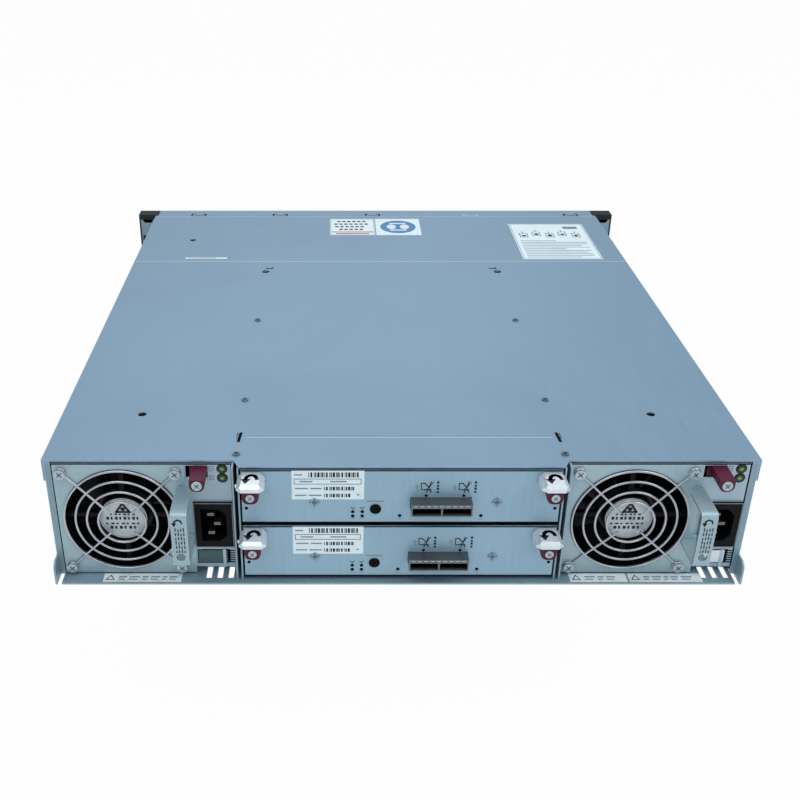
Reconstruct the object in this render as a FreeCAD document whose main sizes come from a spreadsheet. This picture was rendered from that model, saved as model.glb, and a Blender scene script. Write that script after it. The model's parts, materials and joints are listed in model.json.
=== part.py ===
"""Parametric model of a 2U, 19 inch disk shelf enclosure with hot-swap modules and drive bays.

Frame: millimetres, +Z up, the front (drive bays) faces -Y and the rear (modules) faces +Y.
The origin is the middle of the bounding box in X and Y, at the underside of the base.
"""
import FreeCAD, Part
import math
import os
import Sketcher
from FreeCAD import Placement, Rotation, Vector

SIZES = {
    # chassis
    "body_width": 447.0, "body_height": 87.3, "body_depth": 494.0, "sheet_wall": 1.2,
    "side_flange_drop": 15.0, "shelf_reach": 11.5, "ear_tab_rise": 16.0,
    "ear_gap": 4.0, "ear_radius": 5.0, "front_cover_reach": 147.0, "lip_depth": 16.0, "runner_width": 6.0,
    "runner_from_middle": 70.0,
    "fit_gap": 0.3, "cover_slip": 0.05, "seam_gap": 0.6, "hook_tab_width": 9.0, "hook_tab_reach": 2.2,
    "vent_hole_dia": 6.0, "screw_head_dia": 4.8, "screw_head_rise": 0.8, "screw_shank_dia": 2.0,
    "screw_row_first": 7.0, "screw_row_second": 79.0, "screw_row_third": 214.0, "seam_to_screw": 25.0,
    "vent_hole_rear_x": 170.0, "vent_hole_rear_y": 59.0, "vent_hole_front_x": 177.0,
    "vent_hole_seam_y": 57.0, "hook_first": 180.0, "hook_second": 97.0, "hook_third": 3.0,
    "hook_from_end": 21.9, "relief_length": 8.0, "shelf_sheet": 1.2, "joggle_inset": 30.0,
    "joggle_spread": 3.4, "line_width": 0.6, "line_depth": 0.3,
    # rear bays
    "rail_thick": 2.85, "divider_width": 4.4, "divider_sheet": 1.0, "io_overhang": 7.5,
    "rail_low": 22.0, "rail_high": 62.0,
    "rail_slope": 4.0,
    # tie-down slots in the rear shelf
    "slot_width": 3.6, "slot_under": 7.0, "slot_out": 6.0, "slot_first": 94.5, "slot_pitch": 7.2,
    # power module
    "psu_width": 112.6, "psu_height": 83.4, "psu_plug_reach": 22.2, "psu_wall": 1.2,
    "psu_relief": 4.6, "fan_from_edge": 41.5, "fan_size": 80.0, "fan_length": 38.0, "fan_bore": 76.0,
    "fan_screw_pitch": 71.5, "fan_screw_hole": 4.3, "motor_dia": 32.0,
    "motor_length": 8.0, "strut_width": 3.0, "hub_dia": 36.0, "blade_tip_gap": 1.2, "blade_count": 7,
    "blade_chord": 24.0, "blade_thickness": 1.6, "shaft_dia": 4.0, "shaft_gap": 0.05,
    "guard_wire": 1.6, "guard_outer": 74.0, "guard_step": 14.6, "guard_rings": 4, "guard_rise": 3.0,
    "guard_eye": 7.4, "guard_screw_head": 6.6, "guard_screw_rise": 1.8, "plate_lift": 1.0,
    "handle_from_edge": 81.4, "handle_width": 10.0, "handle_reach": 28.0, "handle_top": 64.4,
    "handle_bottom": 24.4, "handle_sheet": 2.0, "handle_radius": 4.0,
    "handle_hole_dia": 6.0,
    "latch_from_edge": 92.5, "latch_width": 9.3, "latch_height": 8.2, "latch_reach": 17.0,
    "latch_low": 73.4, "latch_travel": 4.0, "latch_heel": 2.0, "latch_radius": 4.0,
    "plate_inset": 0.8, "lobe_right": 82.8, "lobe_low": 71.0, "neck_from_edge": 83.2, "neck_waist": 78.3,
    "foot_rise": 6.0, "case_relief_left": 82.4, "psu_plug_width": 56.0, "psu_plug_height": 6.0,
    "psu_plug_low": 9.5, "guard_flat": 10.0, "neck_drop": 3.7,
    "handle_hole_rise": 8.0, "lens_proud": 0.6, "blade_margin": 3.0, "guard_screw_grip": 8.0,
    "guard_shank_dia": 4.0,
    "inlet_from_edge": 99.4, "inlet_low": 21.0, "inlet_width": 25.0, "inlet_height": 34.0,
    "inlet_rim": 1.5, "inlet_body_inset": 1.5, "inlet_length": 24.0, "socket_width": 16.4,
    "socket_height": 24.4, "socket_depth": 17.0, "socket_chamfer": 4.5,
    "pin_wide": 4.0, "pin_thick": 2.0, "pin_length": 15.0, "pin_pitch": 14.0,
    "earth_offset": 4.0,
    "lens_from_edge": 106.4, "lens_dia": 5.0, "lens_high": 79.6, "lens_pitch": 6.7, "lens_length": 3.0,
    "recess_width": 19.0, "recess_height": 11.0, "recess_low": 7.4,
    # input/output module
    "io_side_gap": 0.9, "io_height": 39.0, "io_tongue_reach": 34.7, "io_low": 4.0, "io_pitch": 41.6,
    "io_sheet": 1.2, "io_wall_height": 26.0, "board_thick": 1.6, "board_inset": 1.0, "standoff_dia": 6.0,
    "standoff_from_end": 19.7, "standoff_inset": 20.0, "chip_size": 38.0, "chip_rise": 9.0, "jack_proud": 0.5,
    "port_from_middle": 25.0, "port_width": 38.0, "port_height": 8.4, "port_low": 10.6, "port_proud": 9.0,
    "port_length": 34.0, "port_sheet": 0.8, "port_split": 1.0, "port_lip": 1.6,
    "jack_from_middle": 15.8, "jack_high": 10.7, "jack_dia": 7.0, "jack_bore": 3.6, "jack_length": 12.0,
    "lever_from_end": 7.0, "lever_width": 17.0, "lever_reach": 17.0, "lever_roof": 37.8,
    "lever_lip_drop": 4.6, "lever_sheet": 1.2, "lever_flat": 11.0, "lever_wing_drop": 3.4,
    "lever_side_low": 28.8, "lever_back": 0.5, "lever_corner": 3.0, "lever_lip_length": 4.5,
    "lever_nose": 2.0, "lever_flank": 7.0,
    "pivot_out": 4.0, "pivot_high": 30.0, "pivot_dia": 2.4, "pivot_gap": 0.05, "bracket_thick": 1.4,
    "bracket_half": 2.5, "pivot_stub": 1.5,
    "io_latch_width": 10.4, "io_latch_height": 8.4, "io_latch_low": 24.2, "io_latch_travel": 1.8,
    "io_latch_back": 1.5, "io_latch_corner": 1.2, "io_latch_trim": 3.4, "io_latch_radius": 4.2,
    # midplane and drive bays
    "midplane_thick": 3.0, "midplane_from_front": 124.5, "bay_count": 25, "cage_slack": 0.4,
    "rib_width": 1.0, "rib_rise": 3.0, "cage_plate": 1.2, "cage_wall": 1.4,
    "air_opening_width": 30.0, "air_opening_height": 14.0, "air_opening_low": 62.0, "air_opening_pitch": 52.0,
    "drive_socket_width": 5.0, "drive_socket_depth": 8.0, "drive_socket_low": 22.0,
    "drive_socket_height": 40.0, "psu_socket_width": 60.0, "psu_socket_low": 8.0,
    "io_socket_width": 90.0, "rear_socket_depth": 9.0, "rear_socket_height": 9.0,
    "spine_width": 2.0, "blank_depth": 60.0, "grip_width": 9.0, "grip_depth": 3.5, "grip_drop": 22.0,
    "grip_height": 12.0, "well_wall": 1.95, "well_margin": 5.0, "well_depth": 7.0, "pin_seat": 1.2,
    "disk_notch": 5.0,
    "carrier_depth": 120.0, "bezel_depth": 12.0, "bezel_inset": 2.0, "carrier_skin": 1.9,
    "disk_height": 69.85, "disk_length": 100.0, "disk_from_bezel": 2.0, 
    "carrier_lever_length": 46.0, "carrier_lever_thick": 4.0, "button_height": 10.0,
    "button_travel": 1.5, "first_carrier_bay": 3, "second_carrier_bay": 12,
    # rack ears
    "ear_reach": 17.8, "rack_hole_inset": 8.75, "rack_hole_edge": 5.55, "rack_slot_length": 10.3,
    "rack_slot_width": 6.4, "flange_thick": 2.0, "flange_leg": 34.0, "ear_cap_depth": 14.2,
    "ear_cap_wall": 1.2, "ear_inset": 2.3, "ear_lug": 5.0,
    "ear_lug_rise": 20.0, "flange_inset": 1.5, "flange_leg_thick": 1.2,
}

doc = FreeCAD.newDocument("disk_shelf")
sheet = doc.addObject("Spreadsheet::Sheet", "Sizes")
for row, (size_name, size_value) in enumerate(SIZES.items(), start=1):
    sheet.set(f"A{row}", size_name)
    sheet.set(f"B{row}", str(size_value))
    sheet.setAlias(f"B{row}", size_name)
doc.recompute()


class Term:
    """A length worked out from cells of the sheet: the expression for FreeCAD and its number for Python."""

    def __init__(self, text, number):
        self.text = text
        self.number = float(number)

    def join(self, sign, other, number, swap=False):
        """This term and another one, or a plain number, joined by an arithmetic sign."""
        first, second = (other, self) if swap else (self, other)
        return Term(f"({text_of(first)} {sign} {text_of(second)})", number)

    def __add__(self, other):
        return self.join("+", other, self.number + number_of(other))

    def __radd__(self, other):
        return self.join("+", other, number_of(other) + self.number, swap=True)

    def __sub__(self, other):
        return self.join("-", other, self.number - number_of(other))

    def __rsub__(self, other):
        return self.join("-", other, number_of(other) - self.number, swap=True)

    def __mul__(self, other):
        return self.join("*", other, self.number * number_of(other))

    def __rmul__(self, other):
        return self.join("*", other, number_of(other) * self.number, swap=True)

    def __truediv__(self, other):
        return self.join("/", other, self.number / number_of(other))

    def __neg__(self):
        return Term(f"(-1 * {self.text})", -self.number)


class SheetTerms:
    """Gives each size of the sheet as a term, such as S.body_width."""

    def __getattr__(self, name):
        return Term(f"{sheet.Name}.{name}", sheet.get(name))


def text_of(length):
    """The expression of a term, or a plain number as text."""
    return length.text if isinstance(length, Term) else repr(float(length))


def number_of(length):
    """The number of a term, or a plain number itself."""
    return length.number if isinstance(length, Term) else float(length)


S = SheetTerms()

# Places that several pieces share
REAR = (S.body_depth - S.handle_reach) / 2
FRONT = REAR - S.body_depth
SEAM = FRONT + S.front_cover_reach
LIP_BACK = FRONT + S.lip_depth
SHELF_END = REAR + S.shelf_reach
IO_FACE = REAR + S.io_overhang
COVER_UNDER = S.body_height - S.sheet_wall
TUB_HALF = S.body_width / 2 - S.sheet_wall - S.cover_slip
PSU_EDGE = TUB_HALF - S.sheet_wall - S.rail_thick - S.fit_gap
DIVIDER_OUTER = PSU_EDGE - S.psu_width - S.fit_gap
DIVIDER_INNER = DIVIDER_OUTER - S.divider_width
JOGGLE_HALF = DIVIDER_INNER + S.joggle_spread
BAY_WALL = PSU_EDGE + S.fit_gap
PSU_PITCH = PSU_EDGE + DIVIDER_OUTER + S.fit_gap
PSU_LOW = S.sheet_wall + S.fit_gap
MIDPLANE_FRONT = FRONT + S.midplane_from_front
MIDPLANE_BACK = MIDPLANE_FRONT + S.midplane_thick
IO_HALF = DIVIDER_INNER - S.io_side_gap
SHELF_TOP = S.io_low + S.io_pitch - S.fit_gap
CAGE_INNER = TUB_HALF - S.sheet_wall - S.cage_wall - S.cage_slack
BAY_PITCH = (2 * CAGE_INNER - S.rib_width) / S.bay_count
CARRIER_WIDTH = BAY_PITCH - S.rib_width - 2 * S.fit_gap
DISK_WIDTH = CARRIER_WIDTH - S.carrier_skin
WELL_WIDTH = CARRIER_WIDTH - 2 * S.well_wall
CAGE_FLOOR = S.sheet_wall + S.cage_plate
CAGE_ROOF = COVER_UNDER - S.cage_plate
CARRIER_LOW = CAGE_FLOOR + S.fit_gap
CARRIER_HIGH = CAGE_ROOF - S.fit_gap
CARRIER_FRONT = FRONT + S.bezel_inset
EAR_INNER = S.body_width / 2 - S.ear_inset
EAR_HALF = S.body_width / 2 + S.ear_reach
HOLE_HALF = EAR_HALF - S.rack_hole_inset
HOLE_RISE = S.body_height / 2 - S.rack_hole_edge
FRAME_HALF = EAR_INNER - S.fit_gap
FAN_X = -1 * S.fan_from_edge
FAN_Z = S.psu_height / 2
FAN_BACK = -1 * S.psu_wall
PLATE_RIGHT = S.handle_from_edge + S.handle_width / 2
SOCKET_FACE = MIDPLANE_BACK + S.rear_socket_depth + S.fit_gap
PSU_DEPTH = REAR - SOCKET_FACE - S.psu_plug_reach
IO_DEPTH = IO_FACE - SOCKET_FACE - S.io_tongue_reach
BOARD_LOW = S.port_low - S.board_thick
LEVER_MIDDLE = IO_HALF - S.lever_from_end
FLANGE_BACK = FRONT + S.ear_cap_depth + S.fit_gap

AXIS_TURN = {"X": Rotation(Vector(0, 1, 0), 90), "Y": Rotation(Vector(1, 0, 0), -90), "Z": Rotation()}
SKETCH_TURN = {
    "XY": Rotation(),
    "XZ": Rotation(Vector(1, 0, 0), 90),
    "YZ": Rotation(Vector(1, 1, 1), 120),
}
SKETCH_NORMAL = {"XY": Vector(0, 0, 1), "XZ": Vector(0, 1, 0), "YZ": Vector(1, 0, 0)}
PARTS = []


def bind(obj, **fields):
    """Bind properties of an object to terms; a double underscore stands for the dot of a sub-property."""
    for field, length in fields.items():
        obj.setExpression(field.replace("__", "."), text_of(length))
    return obj


def place(obj, x=0, y=0, z=0):
    """Bind where an object stands."""
    return bind(obj, Placement__Base__x=x, Placement__Base__y=y, Placement__Base__z=z)


def box(name, low, high):
    """A Part::Box between two corners."""
    obj = doc.addObject("Part::Box", name)
    bind(obj, Length=high[0] - low[0], Width=high[1] - low[1], Height=high[2] - low[2])
    return place(obj, *low)


def cylinder(name, axis, foot, radius, length):
    """A Part::Cylinder that starts at foot and runs along a positive axis."""
    obj = doc.addObject("Part::Cylinder", name)
    obj.Placement = Placement(Vector(), AXIS_TURN[axis])
    bind(obj, Radius=radius, Height=length)
    return place(obj, *foot)


def prism(name, plane, points, start, length):
    """A closed sketch outline on a plane, drawn point by point, pushed along the plane's positive axis."""
    sketch = doc.addObject("Sketcher::SketchObject", f"{name}_outline")
    sketch.Placement = Placement(Vector(), SKETCH_TURN[plane])
    draw_outline(sketch, points)
    obj = doc.addObject("Part::Extrusion", name)
    obj.Base = sketch
    obj.DirMode = "Custom"
    obj.Dir = SKETCH_NORMAL[plane]
    obj.Solid = True
    bind(obj, LengthFwd=length)
    axis = {"XY": "z", "XZ": "y", "YZ": "x"}[plane]
    bind(sketch, **{f"Placement__Base__{axis}": start})
    return obj


def draw_outline(sketch, points):
    """Join points by straight lines in a ring and dimension each one from the sketch's origin."""
    first = sketch.GeometryCount
    count = len(points)
    spots = [Vector(number_of(x), number_of(y), 0) for x, y in points]
    for index, spot in enumerate(spots):
        sketch.addGeometry(Part.LineSegment(spot, spots[(index + 1) % count]), False)
    for index in range(count):
        after = first + (index + 1) % count
        sketch.addConstraint(Sketcher.Constraint("Coincident", first + index, 2, after, 1))
    for index, (x, y) in enumerate(points):
        dimension(sketch, "DistanceX", first + index, 1, x)
        dimension(sketch, "DistanceY", first + index, 1, y)


def draw_circle(sketch, x, y, radius):
    """A circle dimensioned by its centre and radius."""
    centre = Vector(number_of(x), number_of(y), 0)
    circle = sketch.addGeometry(Part.Circle(centre, Vector(0, 0, 1), number_of(radius)), False)
    constraint = sketch.addConstraint(Sketcher.Constraint("Radius", circle, number_of(radius)))
    sketch.setExpression(f"Constraints[{constraint}]", text_of(radius))
    dimension(sketch, "DistanceX", circle, 3, x)
    dimension(sketch, "DistanceY", circle, 3, y)


def dimension(sketch, kind, geometry, point, length):
    """Dimension one point of a sketch from its origin."""
    constraint = sketch.addConstraint(Sketcher.Constraint(kind, -1, 1, geometry, point, number_of(length)))
    sketch.setExpression(f"Constraints[{constraint}]", text_of(length))


class SheetMetal:
    """A PartDesign body that grows by pads and pockets from sketches on its own origin planes."""

    def __init__(self, name):
        self.body = doc.addObject("PartDesign::Body", name)
        self.steps = 0

    def sketch(self, plane, start):
        """A new sketch on an origin plane, moved along that plane's positive axis."""
        self.steps += 1
        sketch = self.body.newObject("Sketcher::SketchObject", f"{self.body.Name}_sketch_{self.steps}")
        role = f"{plane}_Plane"
        sketch.AttachmentSupport = [(self.origin(role), "")]
        sketch.MapMode = "FlatFace"
        bind(sketch, AttachmentOffset__Base__z=-1 * start if plane == "XZ" else start)
        return sketch

    def origin(self, role):
        """An origin plane of this body."""
        return [item for item in self.body.Origin.OriginFeatures if item.Role == role][0]

    def feature(self, kind, plane, start, length, outlines, circles):
        """A pad along the plane's positive axis, or a pocket against it, of some outlines and circles."""
        sketch = self.sketch(plane, start)
        for points in outlines:
            draw_outline(sketch, points)
        for x, y, radius in circles:
            draw_circle(sketch, x, y, radius)
        feature = self.body.newObject(f"PartDesign::{kind}", f"{self.body.Name}_{kind.lower()}_{self.steps}")
        feature.Profile = sketch
        feature.Reversed = plane == "XZ"
        bind(feature, Length=length)
        return feature

    def pad(self, plane, start, length, outlines=(), circles=()):
        """Add material."""
        return self.feature("Pad", plane, start, length, outlines, circles)

    def pocket(self, plane, start, length, outlines=(), circles=()):
        """Cut material away."""
        return self.feature("Pocket", plane, start, length, outlines, circles)


def rectangle(low, high):
    """The four corners of an upright rectangle."""
    return [(low[0], low[1]), (high[0], low[1]), (high[0], high[1]), (low[0], high[1])]


def fuse(name, shapes):
    """Several overlapping or touching objects as one."""
    obj = doc.addObject("Part::MultiFuse", name)
    obj.Shapes = shapes
    obj.Refine = True
    return obj


def cut(name, base, tools):
    """One object with others taken away."""
    obj = doc.addObject("Part::Cut", name)
    obj.Base = base
    obj.Tool = tools[0] if len(tools) == 1 else fuse(f"{name}_tools", tools)
    return obj


def group(name, shapes):
    """Separate identical solids that share one node."""
    obj = doc.addObject("Part::Compound", name)
    obj.Links = shapes
    return obj


def round_edges(name, base, radius, chosen):
    """A Part::Fillet on the edges of base that a test picks."""
    doc.recompute()
    obj = doc.addObject("Part::Fillet", name)
    obj.Base = base
    size = number_of(radius)
    obj.Edges = [(index, size, size) for index, edge in enumerate(base.Shape.Edges, start=1) if chosen(edge)]
    return obj


def along(axis):
    """A test for straight edges that run along an axis."""
    return lambda edge: (isinstance(edge.Curve, Part.Line) and abs(edge.Curve.Direction.dot(axis)) > 0.999)


def part(obj, label):
    """Keep an object as a finished sub-part under its own label."""
    obj.Label = label
    PARTS.append(obj)
    return obj


def chassis_tub():
    """Base with the rear shelf and its tie-down slots, side walls with lower ears, and rear return flanges."""
    tub = SheetMetal("tub")
    shelf = TUB_HALF - S.ear_gap
    notch = REAR - S.ear_gap
    base = [(-TUB_HALF, LIP_BACK), (TUB_HALF, LIP_BACK), (TUB_HALF, notch), (shelf, notch), (shelf, SHELF_END),
            (-shelf, SHELF_END), (-shelf, notch), (-TUB_HALF, notch)]
    slots = [tie_slot(PSU_EDGE - module * PSU_PITCH, number) for module in range(2) for number in range(3)]
    tub.pad("XY", 0, S.sheet_wall, [base] + slots)
    wall_top = COVER_UNDER - S.cover_slip
    side = [(LIP_BACK, 0), (SHELF_END, 0), (SHELF_END, S.ear_tab_rise), (REAR, S.ear_tab_rise),
            (REAR, wall_top), (LIP_BACK, wall_top)]
    for start in (-TUB_HALF, TUB_HALF - S.sheet_wall):
        tub.pad("YZ", start, S.sheet_wall, [side])
    left = rectangle((BAY_WALL, 0), (TUB_HALF, wall_top))
    right = rectangle((-TUB_HALF, 0), (-BAY_WALL, wall_top))
    tub.pad("XZ", REAR - S.sheet_wall, S.sheet_wall, [left, right])
    runners = [rectangle((x - S.runner_width / 2, MIDPLANE_BACK + S.fit_gap),
                         (x + S.runner_width / 2, REAR)) for x in (-S.runner_from_middle, S.runner_from_middle)]
    tub.pad("XY", S.sheet_wall, S.io_low - S.fit_gap - S.sheet_wall, runners)

    def ear_corner(edge):
        middle = edge.BoundBox.Center
        return (along(Vector(1, 0, 0))(edge) and middle.y > number_of(SHELF_END) - 0.1
                and abs(middle.x) > number_of(TUB_HALF) - number_of(S.sheet_wall) and middle.z > 1)
    return part(round_edges("tub_rounded", tub.body, S.ear_radius, ear_corner), "chassis_tub")


def tie_slot(edge, number):
    """One tie-down slot under an inlet, running out from below the power module."""
    middle = edge - S.slot_first - number * S.slot_pitch
    return rectangle((middle - S.slot_width / 2, REAR - S.slot_under), (middle + S.slot_width / 2, REAR + S.slot_out))


def screw_spots():
    """Where the cover is screwed to the two bay dividers."""
    x = DIVIDER_INNER + S.divider_width / 2
    offsets = (S.screw_row_first, S.screw_row_second, S.screw_row_third, REAR - SEAM - S.seam_to_screw)
    return [(side * x, REAR - offset) for side in (1, -1) for offset in offsets]


def cover_flanges(cover, front, rear):
    """The two edges of a cover that fold down outside the tub's walls."""
    half = S.body_width / 2
    flange = rectangle((front, S.body_height - S.side_flange_drop), (rear, S.body_height))
    for start in (-half, half - S.sheet_wall):
        cover.pad("YZ", start, S.sheet_wall, [flange])


def rear_cover():
    """Rear top cover: steps out over the input/output bay, with screw holes, two openings and a joggle line."""
    cover = SheetMetal("rear_lid")
    half = S.body_width / 2
    step = DIVIDER_OUTER - S.divider_sheet
    outline = [(-half, SEAM), (half, SEAM), (half, REAR), (step, REAR), (DIVIDER_INNER, IO_FACE),
               (-DIVIDER_INNER, IO_FACE), (-step, REAR), (-half, REAR)]
    holes = [(x, y, S.screw_shank_dia / 2 + S.fit_gap) for x, y in screw_spots()]
    holes += [(side * S.vent_hole_rear_x, REAR - S.vent_hole_rear_y, S.vent_hole_dia / 2) for side in (1, -1)]
    cover.pad("XY", COVER_UNDER, S.sheet_wall, [outline], holes)
    cover_flanges(cover, SEAM, REAR)
    line = REAR - S.joggle_inset
    cover.pocket("XY", S.body_height, S.line_depth,
                 [rectangle((-JOGGLE_HALF, line - S.line_width), (JOGGLE_HALF, line))])
    ends = [rectangle((side * JOGGLE_HALF - S.line_width, line - S.relief_length / 2),
                      (side * JOGGLE_HALF + S.line_width, line + S.relief_length / 2)) for side in (1, -1)]
    cover.pocket("XY", S.body_height, S.sheet_wall, ends)
    return part(cover.body, "rear_cover")


def hook_spots():
    """Middles of the tabs that hook the front cover under the front frame."""
    return (S.hook_first, S.hook_second, S.hook_third, -S.hook_second, -(FRAME_HALF - S.hook_from_end))


def front_cover():
    """Front top cover with its hook tabs, folded side edges and two openings."""
    cover = SheetMetal("front_lid")
    half = S.body_width / 2
    front = LIP_BACK + S.fit_gap
    rear = SEAM - S.seam_gap
    holes = [(side * S.vent_hole_front_x, SEAM - S.vent_hole_seam_y, S.vent_hole_dia / 2) for side in (1, -1)]
    cover.pad("XY", COVER_UNDER, S.sheet_wall, [rectangle((-half, front), (half, rear))], holes)
    tabs = [rectangle((x - S.hook_tab_width / 2, front - S.hook_tab_reach),
                      (x + S.hook_tab_width / 2, front)) for x in hook_spots()]
    cover.pad("XY", COVER_UNDER, S.sheet_wall, tabs)
    cover_flanges(cover, front, rear)
    return part(cover.body, "front_cover")


def cover_screws():
    """Pan-head screws that hold the rear cover on the dividers."""
    screws = []
    for number, (x, y) in enumerate(screw_spots()):
        head = cylinder(f"screw_head_{number}", "Z", (x, y, S.body_height), S.screw_head_dia / 2, S.screw_head_rise)
        foot = COVER_UNDER - S.cover_slip - S.divider_sheet
        shank = cylinder(f"screw_shank_{number}", "Z", (x, y, foot), S.screw_shank_dia / 2,
                         S.body_height - foot)
        screws.append(fuse(f"screw_{number}", [head, shank]))
    return part(group("screws", screws), "cover_screws")


def bay_divider(label, side):
    """Folded channel between a power bay and the input/output bay: two skins, open to the rear, closed on top."""
    wall = SheetMetal(f"{label}_sheet")
    near = side * DIVIDER_INNER
    far = side * DIVIDER_OUTER
    skin = side * S.divider_sheet
    front = MIDPLANE_BACK + S.fit_gap
    top = COVER_UNDER - S.cover_slip
    skins = [rectangle((near, front), (near + skin, IO_FACE)), rectangle((far - skin, front), (far, IO_FACE))]
    wall.pad("XY", S.sheet_wall, top - S.sheet_wall, skins)
    wall.pad("XY", S.sheet_wall, top - S.sheet_wall, [rectangle((near, front), (far, front + S.divider_sheet))])
    roof = rectangle((near, front), (far, REAR))
    holes = [(x, y, S.screw_shank_dia / 2 + S.shaft_gap) for x, y in screw_spots() if number_of(x) * side > 0]
    wall.pad("XY", top - S.divider_sheet, S.divider_sheet, [roof], holes)
    return part(wall.body, label)


def io_shelf():
    """Flat shelf sheet that carries the upper input/output module."""
    shelf = SheetMetal("io_shelf_sheet")
    half = DIVIDER_INNER - S.cover_slip
    front = MIDPLANE_BACK + S.fit_gap
    shelf.pad("XY", SHELF_TOP - S.shelf_sheet, S.shelf_sheet, [rectangle((-half, front), (half, REAR))])
    return part(shelf.body, "io_shelf")


def module_rail(label, side):
    """Hat-section rail on a side wall that guides the outer flank of a power module."""
    wall = TUB_HALF - S.sheet_wall
    points = [(wall, S.rail_low), (wall, S.rail_high), (BAY_WALL, S.rail_high - S.rail_slope),
              (BAY_WALL, S.rail_low + S.rail_slope)]
    outline = [(side * x, z) for x, z in points]
    front = MIDPLANE_BACK + S.fit_gap
    rail = prism(f"{label}_hat", "XZ", outline, front, REAR - S.sheet_wall - front)
    return part(rail, label)


def front_frame():
    """Frame round the drive bays, its top strip notched for the front cover's hook tabs."""
    frame = SheetMetal("frame_sheet")
    outer = rectangle((-FRAME_HALF, 0), (FRAME_HALF, S.body_height))
    inner = rectangle((-CAGE_INNER, CAGE_FLOOR), (CAGE_INNER, CAGE_ROOF))
    frame.pad("XZ", FRONT, S.lip_depth - S.fit_gap, [outer, inner])
    back = LIP_BACK - S.fit_gap
    notches = [rectangle((x - S.hook_tab_width / 2 - S.fit_gap, back - S.hook_tab_reach),
                         (x + S.hook_tab_width / 2 + S.fit_gap, back)) for x in hook_spots()]
    frame.pocket("XY", S.body_height, S.sheet_wall + S.fit_gap, notches)
    return part(frame.body, "front_frame")


def drive_cage():
    """Floor and roof plates joined by end walls, with a guide rib on each side of every drive bay."""
    cage = SheetMetal("cage")
    front = LIP_BACK
    depth = MIDPLANE_FRONT - front
    half = CAGE_INNER + S.cage_wall
    floor = rectangle((-half, S.sheet_wall), (half, CAGE_FLOOR))
    roof = rectangle((-half, CAGE_ROOF), (half, COVER_UNDER - S.cover_slip))
    cage.pad("XZ", front, depth, [floor, roof])
    walls = [rectangle((side * CAGE_INNER, S.sheet_wall), (side * half, COVER_UNDER - S.cover_slip))
             for side in (1, -1)]
    cage.pad("XZ", front, depth, walls)
    first = -CAGE_INNER
    ribs = [rectangle((first, CAGE_FLOOR), (first + S.rib_width, CAGE_FLOOR + S.rib_rise)),
            rectangle((first, CAGE_ROOF - S.rib_rise), (first + S.rib_width, CAGE_ROOF))]
    rib = cage.pad("XZ", front, depth, ribs)
    pattern = cage.body.newObject("PartDesign::LinearPattern", "cage_ribs")
    pattern.Originals = [rib]
    pattern.Direction = (rib.Profile[0], ["H_Axis"])
    bind(pattern, Length=S.bay_count * BAY_PITCH, Occurrences=S.bay_count + 1)
    cage.body.Tip = pattern
    return part(cage.body, "drive_cage")


def bay_middle(bay):
    """Middle of a drive bay, counted from the left bay as seen from the front."""
    return (bay + 0.5 - S.bay_count / 2) * BAY_PITCH


def midplane_board():
    """Circuit board across the chassis between the drives and the modules, with air openings."""
    board = SheetMetal("midplane_sheet")
    half = TUB_HALF - S.sheet_wall - S.fit_gap
    outline = rectangle((-half, S.sheet_wall), (half, COVER_UNDER - S.fit_gap))
    openings = []
    for index in range(8):
        middle = (index - 3.5) * S.air_opening_pitch
        openings.append(rectangle((middle - S.air_opening_width / 2, S.air_opening_low),
                                  (middle + S.air_opening_width / 2, S.air_opening_low + S.air_opening_height)))
    board.pad("XZ", MIDPLANE_FRONT, S.midplane_thick, [outline] + openings)
    return part(board.body, "midplane_board")


def midplane_connectors():
    """Sockets on both faces of the midplane: one per drive bay, one per power and input/output module."""
    sockets = []
    for bay in range(round(number_of(S.bay_count))):
        x = bay_middle(bay) - S.drive_socket_width / 2
        sockets.append(box(f"drive_socket_{bay}", (x, MIDPLANE_FRONT - S.drive_socket_depth, S.drive_socket_low),
                           (x + S.drive_socket_width, MIDPLANE_FRONT, S.drive_socket_low + S.drive_socket_height)))
    for module in range(2):
        x = PSU_EDGE - S.psu_width / 2 - module * PSU_PITCH
        z = S.psu_socket_low
        sockets.append(box(f"psu_socket_{module}", (x - S.psu_socket_width / 2, MIDPLANE_BACK, z),
                           (x + S.psu_socket_width / 2, MIDPLANE_BACK + S.rear_socket_depth, z + S.rear_socket_height)))
        z = S.io_low + module * S.io_pitch + S.port_low - S.board_thick / 2 - S.rear_socket_height / 2
        sockets.append(box(f"io_socket_{module}", (-S.io_socket_width / 2, MIDPLANE_BACK, z),
                           (S.io_socket_width / 2, MIDPLANE_BACK + S.rear_socket_depth, z + S.rear_socket_height)))
    return part(group("sockets", sockets), "midplane_connectors")


def rack_flange(label, side):
    """Angle bracket on the chassis side with two slots for the rack's front rail."""
    flange = SheetMetal(f"{label}_sheet")
    inner = TUB_HALF
    outer = EAR_HALF - S.ear_cap_wall - S.fit_gap
    face = rectangle((side * inner, S.flange_inset), (side * outer, S.body_height - S.flange_inset))
    middle = S.body_height / 2
    flange.pad("XZ", FLANGE_BACK - S.flange_thick, S.flange_thick, [face])
    leg = rectangle((FLANGE_BACK - S.flange_thick, S.flange_inset),
                    (FLANGE_BACK + S.flange_leg, COVER_UNDER - S.side_flange_drop))
    start = TUB_HALF if side > 0 else -TUB_HALF - S.flange_leg_thick
    flange.pad("YZ", start, S.flange_leg_thick, [leg])
    radius = S.rack_slot_width / 2
    reach = S.rack_slot_length / 2 - radius
    spots = [(side * HOLE_HALF, z)
             for z in (middle - HOLE_RISE, middle + HOLE_RISE)]
    flange.pocket("XZ", FLANGE_BACK, S.flange_thick,
                  [rectangle((x - reach, z - radius), (x + reach, z + radius)) for x, z in spots])
    for end in (1, -1):
        flange.pocket("XZ", FLANGE_BACK, S.flange_thick, circles=[(x + end * reach, z, radius) for x, z in spots])
    return part(flange.body, label)


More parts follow.
